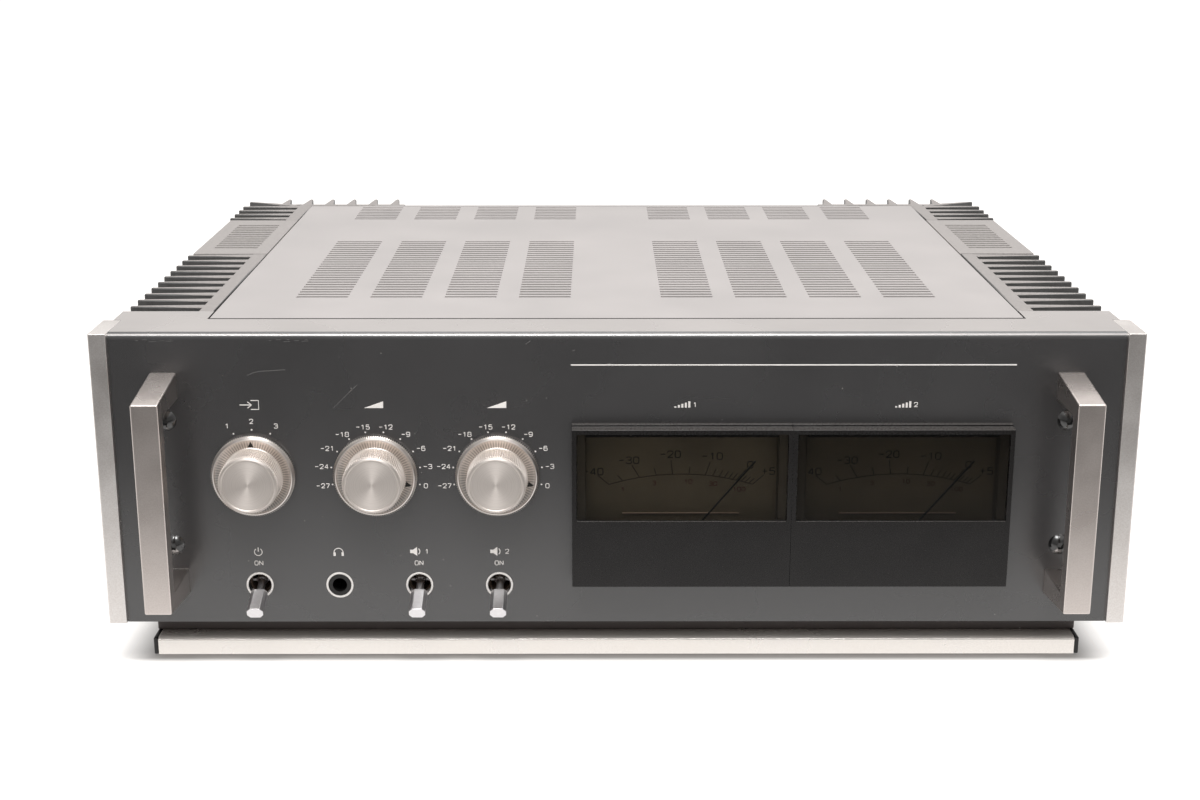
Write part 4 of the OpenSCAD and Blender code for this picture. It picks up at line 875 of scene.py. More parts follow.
# Plain wide figures and letters, drawn as strokes in a box of one by one. Strokes end at sharp
# corners, where a bent one would draw thin.
STROKES: dict[str, list[Points]] = {
    "0": [LOOP], "O": [LOOP],
    "1": [[(0.2, 0.76), (0.58, 1.0)], [(0.58, 1.0), (0.58, 0.0)]],
    "2": [[(0.0, 0.72), (0.05, 0.92), (0.25, 1.0), (0.75, 1.0), (0.95, 0.92), (1.0, 0.72), (0.92, 0.54),
           (0.0, 0.0)], [(0.0, 0.0), (1.0, 0.0)]],
    "3": [[(0.02, 0.86), (0.22, 1.0), (0.76, 1.0), (0.95, 0.9), (0.95, 0.64), (0.78, 0.53), (0.36, 0.53)],
          [(0.78, 0.53), (1.0, 0.42), (1.0, 0.14), (0.78, 0.0), (0.22, 0.0), (0.0, 0.14)]],
    "4": [[(0.76, 0.0), (0.76, 1.0)], [(0.76, 1.0), (0.0, 0.26)], [(0.0, 0.26), (1.0, 0.26)]],
    "5": [[(0.94, 1.0), (0.1, 1.0)], [(0.1, 1.0), (0.05, 0.5)],
          [(0.05, 0.5), (0.25, 0.6), (0.75, 0.6), (0.95, 0.5), (1.0, 0.3), (0.94, 0.1), (0.75, 0.0),
           (0.22, 0.0), (0.0, 0.14)]],
    "6": [SIX],
    "7": [[(0.0, 1.0), (1.0, 1.0)], [(1.0, 1.0), (0.36, 0.0)]],
    "8": [[(across * 0.92 + 0.04, 0.53 + 0.47 * rise) for across, rise in LOOP],
          [(across, 0.53 * rise) for across, rise in LOOP]],
    "9": [[(1.0 - across, 1.0 - rise) for across, rise in SIX]],
    "−": [[(0.05, 0.5), (0.95, 0.5)]],
    "+": [[(0.05, 0.5), (0.95, 0.5)], [(0.5, 0.1), (0.5, 0.9)]],
    "N": [[(0.0, 0.0), (0.0, 1.0)], [(0.0, 1.0), (1.0, 0.0)], [(1.0, 0.0), (1.0, 1.0)]],
}


def arc(radius: float, start: float, end: float, steps: int = 20) -> Points:
    """Give points on an arc.

    Args:
        radius: Its radius.
        start: First angle in degrees from the right.
        end: Last angle.
        steps: Stretches along the arc.

    Returns:
        The points about the arc's middle.
    """
    turns = [math.radians(start + (end - start) * i / steps) for i in range(steps + 1)]
    return [(radius * math.cos(turn), radius * math.sin(turn)) for turn in turns]


@dataclass
class InkSheet:
    """Printed marks on an upright plane, gathered into one piece."""

    name: str
    depth: float
    film: float = 0.06
    nib: float = 0.34
    figure_wide: float = 0.76
    figure_gap: float = 0.32
    facing: Triple = FACING_FRONT
    marks: list[Piece] = field(default_factory=list)

    def _stand(self, mark: Piece, x: float, z: float) -> None:
        """Stand a mark on the plane.

        Args:
            mark: The mark, drawn flat about the origin.
            x: Place on the panel.
            z: Height on the panel.
        """
        outwards = self.film / 2 if self.facing == FACING_BACK else -self.film / 2
        self.marks.append(placed(mark, spot(x, self.depth + outwards, z), self.facing))

    def _drawn(self, points: Points, closed: bool, **settings) -> Piece:
        """Draw a curve through points and turn it into a mesh.

        Args:
            points: The curve's points about the origin.
            closed: Whether the curve ends where it starts.
            **settings: The curve's properties.

        Returns:
            The mesh, flat about the origin.
        """
        fresh()
        curve = bpy.data.curves.new(self.name, "CURVE")
        spline = curve.splines.new("POLY")
        spline.points.add(len(points) - 1)
        for point, (x, z) in zip(spline.points, points):
            point.co = (x * MM, z * MM, 0.0, 1.0)
        spline.use_cyclic_u = closed
        for name, value in settings.items():
            setattr(curve, name, value)
        mark = bpy.data.objects.new(self.name, curve)
        bpy.context.scene.collection.objects.link(mark)
        only(mark)
        bpy.ops.object.convert(target="MESH")
        return bpy.context.object

    def dot(self, x: float, z: float, across: float) -> None:
        """Print a round dot.

        Args:
            x: Place on the panel.
            z: Height on the panel.
            across: Diameter.
        """
        edge = self.film / 2
        rings = [(across / 2, -edge), (across / 2, 0.0), (across / 2 - edge, edge)]
        self._stand(turned(self.name, rings, 20), x, z)

    def filled(self, points: Points) -> Piece:
        """Draw a filled outline.

        Args:
            points: The outline's corners.

        Returns:
            The mark, flat about the origin.
        """
        return self._drawn(points, True, dimensions="2D", fill_mode="BOTH", extrude=self.film / 2 * MM)

    def area(self, points: Points, x: float, z: float) -> None:
        """Print a filled outline, whose corners are about x and z."""
        self._stand(self.filled(points), x, z)

    def stroke(self, points: Points, width: float, x: float = 0.0, z: float = 0.0,
               closed: bool = False) -> None:
        """Print a line of even width through points.

        Args:
            points: The line's points about x and z.
            width: Width of the line.
            x: Place of the points' origin.
            z: Its height.
            closed: Whether the line ends where it starts.
        """
        mark = self._drawn(points, closed, dimensions="3D", bevel_depth=width / 2 * MM, bevel_resolution=1,
                           use_fill_caps=True)
        mark.scale.z = self.film / width
        self._stand(mark, x, z)

    def ring(self, x: float, z: float, outer: float, inner: float, sides: int = 48) -> None:
        """Print a ring between two diameters.

        Args:
            x: Place of its middle.
            z: Height of its middle.
            outer: Outer diameter.
            inner: Inner diameter.
            sides: Points round the ring.
        """
        points = arc((outer + inner) / 4, 0.0, 360.0, sides)[:-1]
        self.stroke(points, (outer - inner) / 2, x, z, True)

    def words(self, text: str, x: float, z: float, height: float) -> None:
        """Print figures or letters about a middle, stroke by stroke.

        Args:
            text: What is printed.
            x: Place of the middle.
            z: Height of the middle.
            height: Height of a figure.
        """
        width = height * self.figure_wide
        step = width + height * self.figure_gap
        left = -(step * (len(text) - 1) + width) / 2
        for i, sign in enumerate(text):
            for line in STROKES[sign]:
                points = [(left + i * step + across * width, (rise - 0.5) * height) for across, rise in line]
                closed = line[0] == line[-1]
                self.stroke(points[:-1] if closed else points, self.nib, x, z, closed)

    def finished(self, finish: Finish) -> None:
        """Join the marks into one dressed piece of the chassis."""
        mounted(joined(self.name, self.marks), finish)


@dataclass
class Casework:
    """Painted and anodised case: every solid gets its finish, and those that show get rounded edges."""

    edges: dict[str, float] = field(default_factory=lambda: {
        "side_trim_left": 0.35, "side_trim_right": 0.35, "rail_end_caps": 0.6, "plinth": 0.5})
    crowns: tuple[str, ...] = (
        "heatsink_front_left", "heatsink_front_right", "heatsink_rear_left", "heatsink_rear_right")
    crown: float = 0.8
    seam: float = 0.8
    seam_lap: float = 0.6
    seam_deep: float = 1.3
    seam_proud: float = 0.03
    seam_edge: float = 0.02

    def build(self) -> None:
        """Dress all the solids, round the edges of the case and lay a black strip in the cover's front seam
        as painted shade.
        """
        for node in SLOTS:
            finish = finish_of(node)
            materials = frame["nodes"][node].data.materials
            materials.clear()
            materials.append(finish.material())
            LOG.info("%s gets %s", node, finish.name)
            if node in self.edges:
                stand_in(softened(node, self.edges[node]), node)
            elif node in self.crowns:
                stand_in(crowned(node, self.crown), node)
        # Painted shade: a black strip in the gap at the cover's front edge, where the seam lies in shade.
        low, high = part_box("top_cover")
        shade_strip_low = Vector((low.x, low.y - self.seam * MM, high.z - self.seam_deep * MM))
        shade_strip_high = Vector((high.x, low.y + self.seam_lap * MM, high.z + self.seam_proud * MM))
        shade_strip = box_piece("cover_seam_shade_strip", shade_strip_low, shade_strip_high)
        mounted(rounded(shade_strip, self.seam_edge), SEAM_SHADE)


@dataclass
class FootRails:
    """Polished rails that carry the plinth, with a shallow rounded lip outwards."""

    edge: float = 0.3
    nose: float = 3.0
    nose_steps: int = 8
    lip: float = 0.4

    def build(self) -> None:
        """Model both rails."""
        for side, node in enumerate(("front_rail", "rear_rail")):
            # The front rail's lip is at its lowest corner, and the rear one's at its highest.
            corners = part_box(node)
            outer, top = corners[side].y, corners[1].z
            piece = box_piece(node + "_dressed", *corners)
            edit(piece)
            self._pick_nose(piece, outer, top, 0.0)
            bpy.ops.mesh.bevel(offset=self.nose * MM, segments=self.nose_steps, affect="EDGES")
            self._pick_nose(piece, outer, top, self.nose * MM)
            bpy.ops.transform.resize(value=(1.0, 1.0, self.lip), center_override=(0.0, 0.0, top))
            stand_in(rounded(piece, self.edge), node)

    def _pick_nose(self, piece: Piece, outer: float, top: float, reach: float) -> None:
        """Pick the points at a rail's outer upper edge."""
        pick(piece, "VERT", lambda point: abs(point.co.y - outer) < reach + TINY
             and point.co.z > top - reach - TINY)


@dataclass
class CarryHandles:
    """Bare aluminium handles with sloped arms and small rounded edges."""

    front_h: float = 92.6
    arm: float = 11.9
    grip: float = 8.0
    edge: float = 0.7
    edge_steps: int = 3

    def build(self) -> None:
        """Model both handles."""
        for side in ("left", "right"):
            self._handle(f"handle_{side}")

    def _handle(self, node: str) -> None:
        """Shape one handle from its grip bar.

        Args:
            node: The solid that it stands for.
        """
        low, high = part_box(node)
        middle = (low.z + high.z) / 2
        half = self.front_h / 2 * MM
        inner = (high.z - low.z) / 2 - self.arm * MM
        back = low.y + self.grip * MM
        piece = box_piece(node + "_bar", Vector((low.x, low.y, middle - half)),
                          Vector((high.x, back, middle + half)))
        for height in (middle - inner, middle + inner):
            edit(piece)
            bpy.ops.mesh.bisect(plane_co=(0, 0, height), plane_no=(0, 0, 1))
        pick(piece, "FACE", lambda face: face.normal.y > 0.9
             and abs(face.calc_center_median().z - middle) > inner)
        bpy.ops.mesh.extrude_region_move(TRANSFORM_OT_translate={"value": (0, high.y - back, 0)})
        spread = (high.z - low.z) / 2 - half
        for depth, share in ((high.y, 1.0), (back, (back - low.y) / (high.y - low.y))):
            for sign in (-1, 1):
                pick(piece, "VERT", lambda point: abs(point.co.y - depth) < TINY
                     and abs(point.co.z - middle - sign * half) < TINY)
                bpy.ops.transform.translate(value=(0, 0, sign * spread * share))
        stand_in(rounded(piece, self.edge, self.edge_steps), node)


@dataclass
class ControlKnob:
    """Turned knob with a knurled skirt, a knurled grip, dished faces and a filled pointer.

    The skirt's face slopes down to the grip's foot. The slope starts a length inside the skirt and
    one under its top, and ends a length outside the grip and one over its foot.
    """

    node: str
    body: str
    pointer_turn: float
    skirt_d: float = 36.6
    skirt_t: float = 3.9
    grip_d: float = 26.0
    rim: float = 1.0
    dish: float = 0.3
    rib: float = 0.6
    skirt_ribs: int = 116
    grip_ribs: int = 84
    sides: int = 160
    smooth: float = 24.0
    back_edge: float = 0.4
    shoulder: float = 1.0
    band_sunk: float = 1.4
    band_crown: float = 0.9
    foot_drop: float = 0.6
    slope_start: Pair = (1.4, 0.25)
    slope_end: Pair = (1.2, 0.05)
    pointer_r: float = 15.0
    pointer_size: float = 2.7
    pointer_film: float = 0.12

    def build(self) -> None:
        """Model the knob and its pointer."""
        low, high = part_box(self.node)
        centre = Vector(((low.x + high.x) / 2, high.y, (low.z + high.z) / 2))
        height = (high.y - low.y) / MM
        skirt, grip, top = self.skirt_d / 2, self.grip_d / 2, self.skirt_t
        body = turned(self.node, self._profile(height), self.sides)
        only(body)
        bpy.ops.object.shade_smooth_by_angle(angle=math.radians(self.smooth))
        piece = joined(self.node + "_turned", [
            body,
            ribbed_band(self.node, skirt, self.rib, self.back_edge, top - self.shoulder, self.skirt_ribs),
            ribbed_band(self.node, grip, self.rib, top - self.band_sunk, height - self.band_crown,
                        self.grip_ribs),
        ])
        placed(piece, centre, FACING_FRONT)
        stand_in(piece, self.node, SpunMetal("spun_" + self.node, tuple(centre), grip, skirt, self.grip_ribs))
        self._pointer(centre)

    def _profile(self, height: float) -> Points:
        """Give the turned rings from the knob's back to its face.

        Args:
            height: Height of the whole knob.

        Returns:
            Radius and height of each ring.
        """
        skirt = self.skirt_d / 2 - self.rib
        grip = self.grip_d / 2 - self.rib
        rim = grip - self.rim
        top = self.skirt_t
        foot = top - self.foot_drop
        face = height - self.dish
        inside, under = self.slope_start
        outside, over = self.slope_end
        return [
            (skirt - self.back_edge, 0.0), (skirt, self.back_edge), (skirt, top - self.shoulder),
            (skirt - 0.1, top - 0.6), (skirt - 0.4, top - 0.2), (skirt - 0.8, top), (skirt - 1.1, top - 0.05),
            (skirt - inside, top - under), (grip + outside, foot + over), (grip + 1.0, foot),
            (grip + 0.85, foot + 0.1), (grip + 0.65, foot + 0.4), (grip, foot + 0.45),
            (grip, height - self.shoulder), (grip - 0.05, height - 0.7), (grip - 0.3, height - 0.25),
            (grip - 0.7, height), (rim, height), (rim - 0.3, face), (3.0, face), (0.05, face),
        ]

    def _pointer(self, centre: Vector) -> None:
        """Fill the pointer on the skirt's sloped face.

        Args:
            centre: Middle of the knob's back.
        """
        half = self.pointer_size / 2
        inside, under = self.slope_start
        outside, over = self.slope_end
        start = self.skirt_d / 2 - self.rib - inside
        end = self.grip_d / 2 - self.rib + outside
        slope = math.atan2(self.foot_drop - under - over, start - end)
        lift = self.skirt_t - under - math.tan(slope) * (start - self.pointer_r)
        sheet = InkSheet(self.body + "_pointer", 0.0, self.pointer_film)
        mark = sheet.filled([(-half, -half), (half, -half), (0.0, half)])
        placed(mark, Vector(), FACING_FRONT)
        placed(mark, Vector((0.0, -lift * MM, self.pointer_r * MM)), (slope, 0.0, 0.0))
        placed(mark, Vector(), (0.0, math.radians(self.pointer_turn), 0.0))
        mounted(placed(mark, centre), POINTER_INK, self.body)


@dataclass
class ToggleRow:
    """Toggle levers with softened paddles, and the white rings round the row's openings."""

    levers: tuple[str, ...] = ("power_lever", "speaker_a_lever", "speaker_b_lever")
    ring_outer: float = 12.1
    ring_inner: float = 10.2
    edge: float = 0.35

    def build(self) -> None:
        """Soften the levers."""
        for node in self.levers:
            stand_in(softened(node, self.edge), node, LEVER_CHROME)

    def openings(self) -> Points:
        """Give the places of the row's four openings from left to right.

        Returns:
            Each opening's x and z on the panel.
        """
        pivots = {joint["name"]: panel_place(Vector(joint["pos_m"])) for joint in frame["joints"]}
        first, _, z = pivots["power_toggle"]
        last, _, _ = pivots["speaker_b_toggle"]
        return [(first + i * (last - first) / 3, z) for i in range(4)]


@dataclass
class PanelPrint:
    """Screen print on the face plate: scales, figures, plain signs and a rule.

    The selector's dots and figures lie on ellipses, given by half their widths and heights. A
    level's figure stands beside its dot by a length and one more for each of its characters, and
    over it by the dot's height on the circle times a length, up to a limit.
    """

    dot_d: float = 0.75
    figure_h: float = 1.95
    pen: float = 0.42
    selector_step: float = 24.0
    selector_dots: Pair = (19.6, 20.4)
    selector_figures: Pair = (25.96, 24.2)
    level_marks: int = 10
    level_first: float = -103.5
    level_step: float = 23.0
    level_dots_r: float = 19.6
    level_low: int = -27
    level_by: int = 3
    beside: Pair = (1.8, 0.8)
    beside_gain: float = 1.25
    over: Pair = (2.6, 2.4)
    sign_z: float = 100.6
    bars_figure_x: float = 5.5
    switch_sign_z: float = 33.3
    speaker_x: float = -1.6
    speaker_figure_x: float = 3.6
    on_z: float = 27.9
    rule_z: float = 118.35
    rule_from: float = -19.95
    rule_to: float = 171.5
    rule_w: float = 0.6

    def build(self, row: ToggleRow) -> None:
        """Print the whole face plate.

        Args:
            row: The row of switches under the knobs.
        """
        self._selector("input_knob")
        self._level("left_level_knob")
        self._level("right_level_knob")
        self._switches(row)
        sheet = InkSheet("panel_print_rule", 0.0)
        sheet.stroke([(self.rule_from, 0.0), (self.rule_to, 0.0)], self.rule_w, 0.0, self.rule_z)
        for i, node in enumerate(("meter_housing_left", "meter_housing_right")):
            x, _ = self._middle(node)
            self._bars(sheet, x, self.sign_z)
            sheet.words(str(i + 1), x + self.bars_figure_x, self.sign_z, self.figure_h)
        sheet.finished(PRINT_INK)

    def _middle(self, node: str) -> Pair:
        """Give the x and z of a solid's middle on the panel."""
        x, _, z = panel_place(sum(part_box(node), Vector()) / 2)
        return x, z

    def _selector(self, node: str) -> None:
        """Print the selector's three positions and its sign.

        Args:
            node: The selector's knob.
        """
        x, z = self._middle(node)
        sheet = InkSheet("panel_print_input", 0.0)
        for i in range(3):
            turn = math.radians((i - 1) * self.selector_step)
            across, rise = math.sin(turn), math.cos(turn)
            wide, high = self.selector_dots
            sheet.dot(x + wide * across, z + high * rise, self.dot_d)
            wide, high = self.selector_figures
            sheet.words(str(i + 1), x + wide * across, z + high * rise, self.figure_h)
        for line in ([(-4.6, 0.0), (0.6, 0.0)], [(-1.2, 1.4), (0.6, 0.0), (-1.2, -1.4)],
                     [(0.2, 2.0), (3.6, 2.0), (3.6, -2.0), (0.2, -2.0)]):
            sheet.stroke(line, self.pen, x, self.sign_z)
        sheet.finished(PRINT_INK)

    def _level(self, node: str) -> None:
        """Print a level scale with its figures and sign.

        Args:
            node: The level's knob.
        """
        x, z = self._middle(node)
        sheet = InkSheet("panel_print_" + node, 0.0)
        for step in range(self.level_marks):
            turn = math.radians(self.level_first + step * self.level_step)
            across, rise = math.sin(turn), math.cos(turn)
            dot_x, dot_z = x + self.level_dots_r * across, z + self.level_dots_r * rise
            sheet.dot(dot_x, dot_z, self.dot_d)
            level = self.level_low + self.level_by * step
            figure = f"−{-level}" if level else "0"
            reach = self.beside[0] + self.beside[1] * len(figure)
            aside = reach * max(-1.0, min(1.0, across * self.beside_gain))
            sheet.words(figure, dot_x + aside, dot_z + min(self.over[0] * rise, self.over[1]), self.figure_h)
        sheet.area([(-4.2, -1.4), (4.2, -1.4), (4.2, 1.6)], x, self.sign_z)
        sheet.finished(PRINT_INK)

    def _switches(self, row: ToggleRow) -> None:
        """Print the signs, rings and switch marks of the lower row.

        Args:
            row: The row of switches and the phones socket.
        """
        openings = row.openings()
        power, phones, first, second = (x for x, _ in openings)
        sheet = InkSheet("panel_print_switches", 0.0)
        for x, z in openings:
            sheet.ring(x, z, row.ring_outer, row.ring_inner)
        for x in (power, first, second):
            sheet.words("ON", x, self.on_z, self.figure_h)
        self._power(sheet, power, self.switch_sign_z)
        self._headphones(sheet, phones, self.switch_sign_z)
        for i, x in enumerate((first, second)):
            self._loudspeaker(sheet, x + self.speaker_x, self.switch_sign_z)
            sheet.words(str(i + 1), x + self.speaker_figure_x, self.switch_sign_z, self.figure_h)
        sheet.finished(PRINT_INK)

    def _power(self, sheet: InkSheet, x: float, z: float) -> None:
        """Print the mains sign: a broken ring and a bar."""
        sheet.stroke(arc(1.7, 125, 415), self.pen, x, z - 0.2)
        sheet.stroke([(0.0, 0.1), (0.0, 2.1)], self.pen, x, z - 0.2)

    def _headphones(self, sheet: InkSheet, x: float, z: float) -> None:
        """Print a pair of headphones: a band and two pads.

        Args:
            sheet: The sheet that takes the sign.
            x: Place of its middle.
            z: Height of its middle.
        """
        sheet.stroke(arc(2.0, 0, 180), self.pen, x, z - 0.5)
        for left, right in ((-2.3, -1.3), (1.3, 2.3)):
            sheet.area([(left, -2.1), (right, -2.1), (right, -0.4), (left, -0.4)], x, z)

    def _loudspeaker(self, sheet: InkSheet, x: float, z: float) -> None:
        """Print a loudspeaker: a magnet, a horn and a wave."""
        sheet.area([(-2.2, -0.8), (-0.9, -0.8), (0.9, -2.1), (0.9, 2.1), (-0.9, 0.8), (-2.2, 0.8)], x, z)
        sheet.stroke(arc(1.7, -50, 50, 8), self.pen, x + 0.4, z)

    def _bars(self, sheet: InkSheet, x: float, z: float) -> None:
        """Print a rising row of level bars.

        Args:
            sheet: The sheet that takes the sign.
            x: Place of its middle.
            z: Height of its middle.
        """
        for i in range(5):
            left, top = -3.4 + 1.5 * i, 0.55 * i - 0.7
            sheet.area([(left, -1.3), (left + 0.9, -1.3), (left + 0.9, top), (left, top)], x, z)


@dataclass
class WornMarks:
    """Handling marks on the face plate: long scratches and rows of short rubs under its upper edge.

    Three lengths of rub follow each other along a row, and its height waves a little.
    """

    width: float = 0.24
    film: float = 0.02
    scratches: tuple[tuple[Pair, ...], ...] = (
        ((-159.1, 113.8), (-156.5, 114.9), (-153.8, 115.6), (-150.0, 115.8), (-146.1, 116.1),
         (-142.6, 116.3)),
        ((-122.8, 99.0), (-117.6, 104.2), (-112.0, 109.5)),
        ((-39.4, 127.5), (-38.3, 128.2), (-37.2, 129.1)),
        ((-19.4, 124.5), (-18.2, 125.0)),
    )
    rub_rows: tuple[Pair, ...] = ((-149.0, -131.0), (-206.0, -189.0))
    rubs: int = 7
    rub_w: float = 0.168
    rub_z: float = 129.2
    rub_wave: Pair = (0.5, 2.4)
    rub_jog: float = 0.03
    rub_length: Pair = (1.2, 0.9)
    rub_rise: float = 0.08

    def build(self) -> None:
        """Scratch the face plate."""
        sheet = InkSheet("panel_scratches", 0.0, self.film)
        for points in self.scratches:
            sheet.stroke(list(points), self.width)
        high, pace = self.rub_wave
        shortest, longer = self.rub_length
        for left, right in self.rub_rows:
            for i in range(self.rubs):
                start = left + (right - left) * (i / self.rubs + self.rub_jog * (i % 3))
                end = start + shortest + longer * (i % 3)
                z = self.rub_z + high * math.sin(pace * i)
                sheet.stroke([(start, z), (end, z + self.rub_rise)], self.rub_w)
        sheet.finished(RUBBED_PAINT)


@dataclass
class LevelMeter:
    """Swinging-needle meter: softened case, folded and printed dial, light bar and smoked lens.

    Places on the scale are slants of the needle in degrees from upright.
    """

    side: str
    lens: Finish
    edge: float = 0.3
    card: float = 0.3
    card_tuck: float = 0.24
    card_edge: float = 0.05
    pivot_z: float = 36.5
    arc_half: float = 31.5
    arc_top: float = 68.5
    arc_sag: float = 4.8
    arc_steps: int = 48
    arc_rounds: int = 12
    pen: float = 0.3
    nib: float = 0.42
    long_tick: float = 6.5
    short_tick: float = 3.4
    figure_h: float = 3.0
    figure_out: float = 9.2
    figures: tuple[tuple[str, float], ...] = (
        ("−40", -49.3), ("−30", -30.9), ("−20", -6.7), ("−10", 18.6), ("0", 39.8), ("+5", 48.9))
    between: tuple[float, ...] = (-41.5, -18.9, 6.2, 24.0, 28.4, 32.0, 34.8, 37.4, 42.6, 44.8, 46.9)
    lower: tuple[tuple[str, float], ...] = (
        ("1", -44.0), ("3", -22.0), ("10", 6.0), ("30", 26.0), ("100", 44.0))
    lower_h: float = 1.8
    lower_in: float = 0.93
    lower_drop: float = 3.4
    bar_half: float = 25.8
    bar_d: float = 0.7
    bar_tip_d: float = 0.42
    bar_taper: float = 0.4
    bar_sides: int = 16
    bar_smooth: float = 40.0
    bar_rise: float = 4.6

    def build(self) -> None:
        """Model the meter's visible pieces."""
        housing = f"meter_housing_{self.side}"
        stand_in(softened(housing, self.edge), housing)
        lens = f"meter_lens_{self.side}"
        self._lens(lens)
        low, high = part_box(f"meter_dial_{self.side}")
        x, _, _ = panel_place((low + high) / 2)
        _, face, floor = panel_place(low)
        self._folded_ends(low, high, *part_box(lens))
        self._scale(x, face)
        self._light_bar(x, face, floor)

    def _lens(self, node: str) -> None:
        """Model the lens, a card's thickness short at its back.

        Args:
            node: The solid that it stands for.
        """
        low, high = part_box(node)
        piece = softened(node, self.edge)
        edit(piece)
        pick(piece, "VERT", lambda point: point.co.y > (low.y + high.y) / 2)
        bpy.ops.transform.translate(value=(0, -self.card * MM, 0))
        fresh()
        stand_in(piece, node, self.lens)

    def _folded_ends(self, low: Vector, high: Vector, lens_low: Vector, lens_high: Vector) -> None:
        """Fold the dial card's ends forward and out behind the lens, so that it fills the window; the folds
        are painted darker than the dial for the shade round the window's edges.

        Args:
            low: The dial's lowest corner.
            high: Its highest corner.
            lens_low: The lens's lowest corner.
            lens_high: Its highest corner.
        """
        card = self.card * MM
        front = lens_high.y - self.card_tuck * MM
        parts = []
        for wall, lip in ((low.x, lens_low.x), (high.x - card, lens_high.x)):
            ends = (wall, wall + card, lip)
            for left, right, back in ((wall, wall + card, low.y), (min(ends), max(ends), lens_high.y)):
                corner, far_corner = Vector((left, front, lens_low.z)), Vector((right, back, lens_high.z))
                parts.append(rounded(box_piece(self.side, corner, far_corner), self.card_edge))
        mounted(joined(f"meter_{self.side}_dial_ends", parts), SHADED_CARD_EDGE)

    def _height(self, across: float) -> float:
        """Give the height of the scale's arc at a distance from its middle."""
        radius = (self.arc_half ** 2 + self.arc_sag ** 2) / (2 * self.arc_sag)
        return self.arc_top - radius + math.sqrt(radius ** 2 - across ** 2)

    def _on_arc(self, slant: float, outwards: float = 0.0) -> Pair:
        """Give the point where a needle's slant meets the arc, or a length past it.

        Args:
            slant: The needle's slant.
            outwards: Length past the arc along the needle.

        Returns:
            Distance from the meter's middle, and height.
        """
        turn = math.radians(slant)
        across = 0.0
        for _ in range(self.arc_rounds):
            across = math.tan(turn) * (self._height(across) - self.pivot_z)
        return across + outwards * math.sin(turn), self._height(across) + outwards * math.cos(turn)

    def _scale(self, x: float, face: float) -> None:
        """Print the arc, its ticks and its figures.

        Args:
            x: The meter's middle.
            face: Depth of the dial's face.
        """
        sheet = InkSheet(f"meter_{self.side}_scale", face, nib=self.nib)
        first, last = (self._on_arc(slant)[0] for _, slant in (self.figures[0], self.figures[-1]))
        spots = [first + (last - first) * i / self.arc_steps for i in range(self.arc_steps + 1)]
        sheet.stroke([(across, self._height(across)) for across in spots], self.pen, x)
        ticks = [(slant, self.long_tick) for _, slant in self.figures]
        ticks += [(slant, self.short_tick) for slant in self.between]
        for slant, length in ticks:
            sheet.stroke([self._on_arc(slant), self._on_arc(slant, length)], self.pen, x)
        for figure, slant in self.figures:
            across, height = self._on_arc(slant, self.figure_out)
            sheet.words(figure, x + across, height, self.figure_h)
        sheet.finished(DIAL_INK)
        lower = InkSheet(f"meter_{self.side}_lower_figures", face)
        for figure, slant in self.lower:
            across, height = self._on_arc(slant)
            lower.words(figure, x + across * self.lower_in, height - self.lower_drop, self.lower_h)
        lower.finished(RED_INK)

    def _light_bar(self, x: float, face: float, floor: float) -> None:
        """Lay the clear light bar along the dial's lower edge.

        Args:
            x: The meter's middle.
            face: Depth of the dial's face.
            floor: Height of the dial's lower edge.
        """
        half, tip, end = self.bar_d / 2, self.bar_tip_d / 2, self.bar_half
        rings = [(tip, -end), (half, self.bar_taper - end), (half, end - self.bar_taper), (tip, end)]
        piece = turned(f"meter_{self.side}_light_bar", rings, self.bar_sides)
        placed(piece, spot(x, face - half, floor + self.bar_rise), (0.0, math.pi / 2, 0.0))
        only(piece)
        bpy.ops.object.shade_smooth_by_angle(angle=math.radians(self.bar_smooth))
        mounted(piece, LIGHT_BAR)


@dataclass
class RearPrint:
    """Plain signs on the rear panel: pole signs over the speaker sockets, and numbers."""

    red: Pair = (-35.0, 35.0)
    black: Pair = (-54.0, 54.0)
    inputs: Pair = (-103.025, -82.025)
    rows: Pair = (88.0, 58.0)
    over: float = 13.5
    figure_h: float = 3.4
    nib: float = 0.5

    def build(self) -> None:
        """Print the rear panel."""
        _, face, _ = panel_place(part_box("rear_panel")[1])
        sheet = InkSheet("rear_print", face, nib=self.nib, facing=FACING_BACK)
        for sign, places in (("+", self.red), ("−", self.black)):
            for x in places:
                sheet.words(sign, x, self.rows[0] + self.over, self.figure_h)
        for number, z in enumerate(self.rows):
            for x in (sum(self.red) / 2, sum(self.inputs) / 2):
                sheet.words(str(number + 1), x, z, self.figure_h)
        sheet.finished(PRINT_INK)


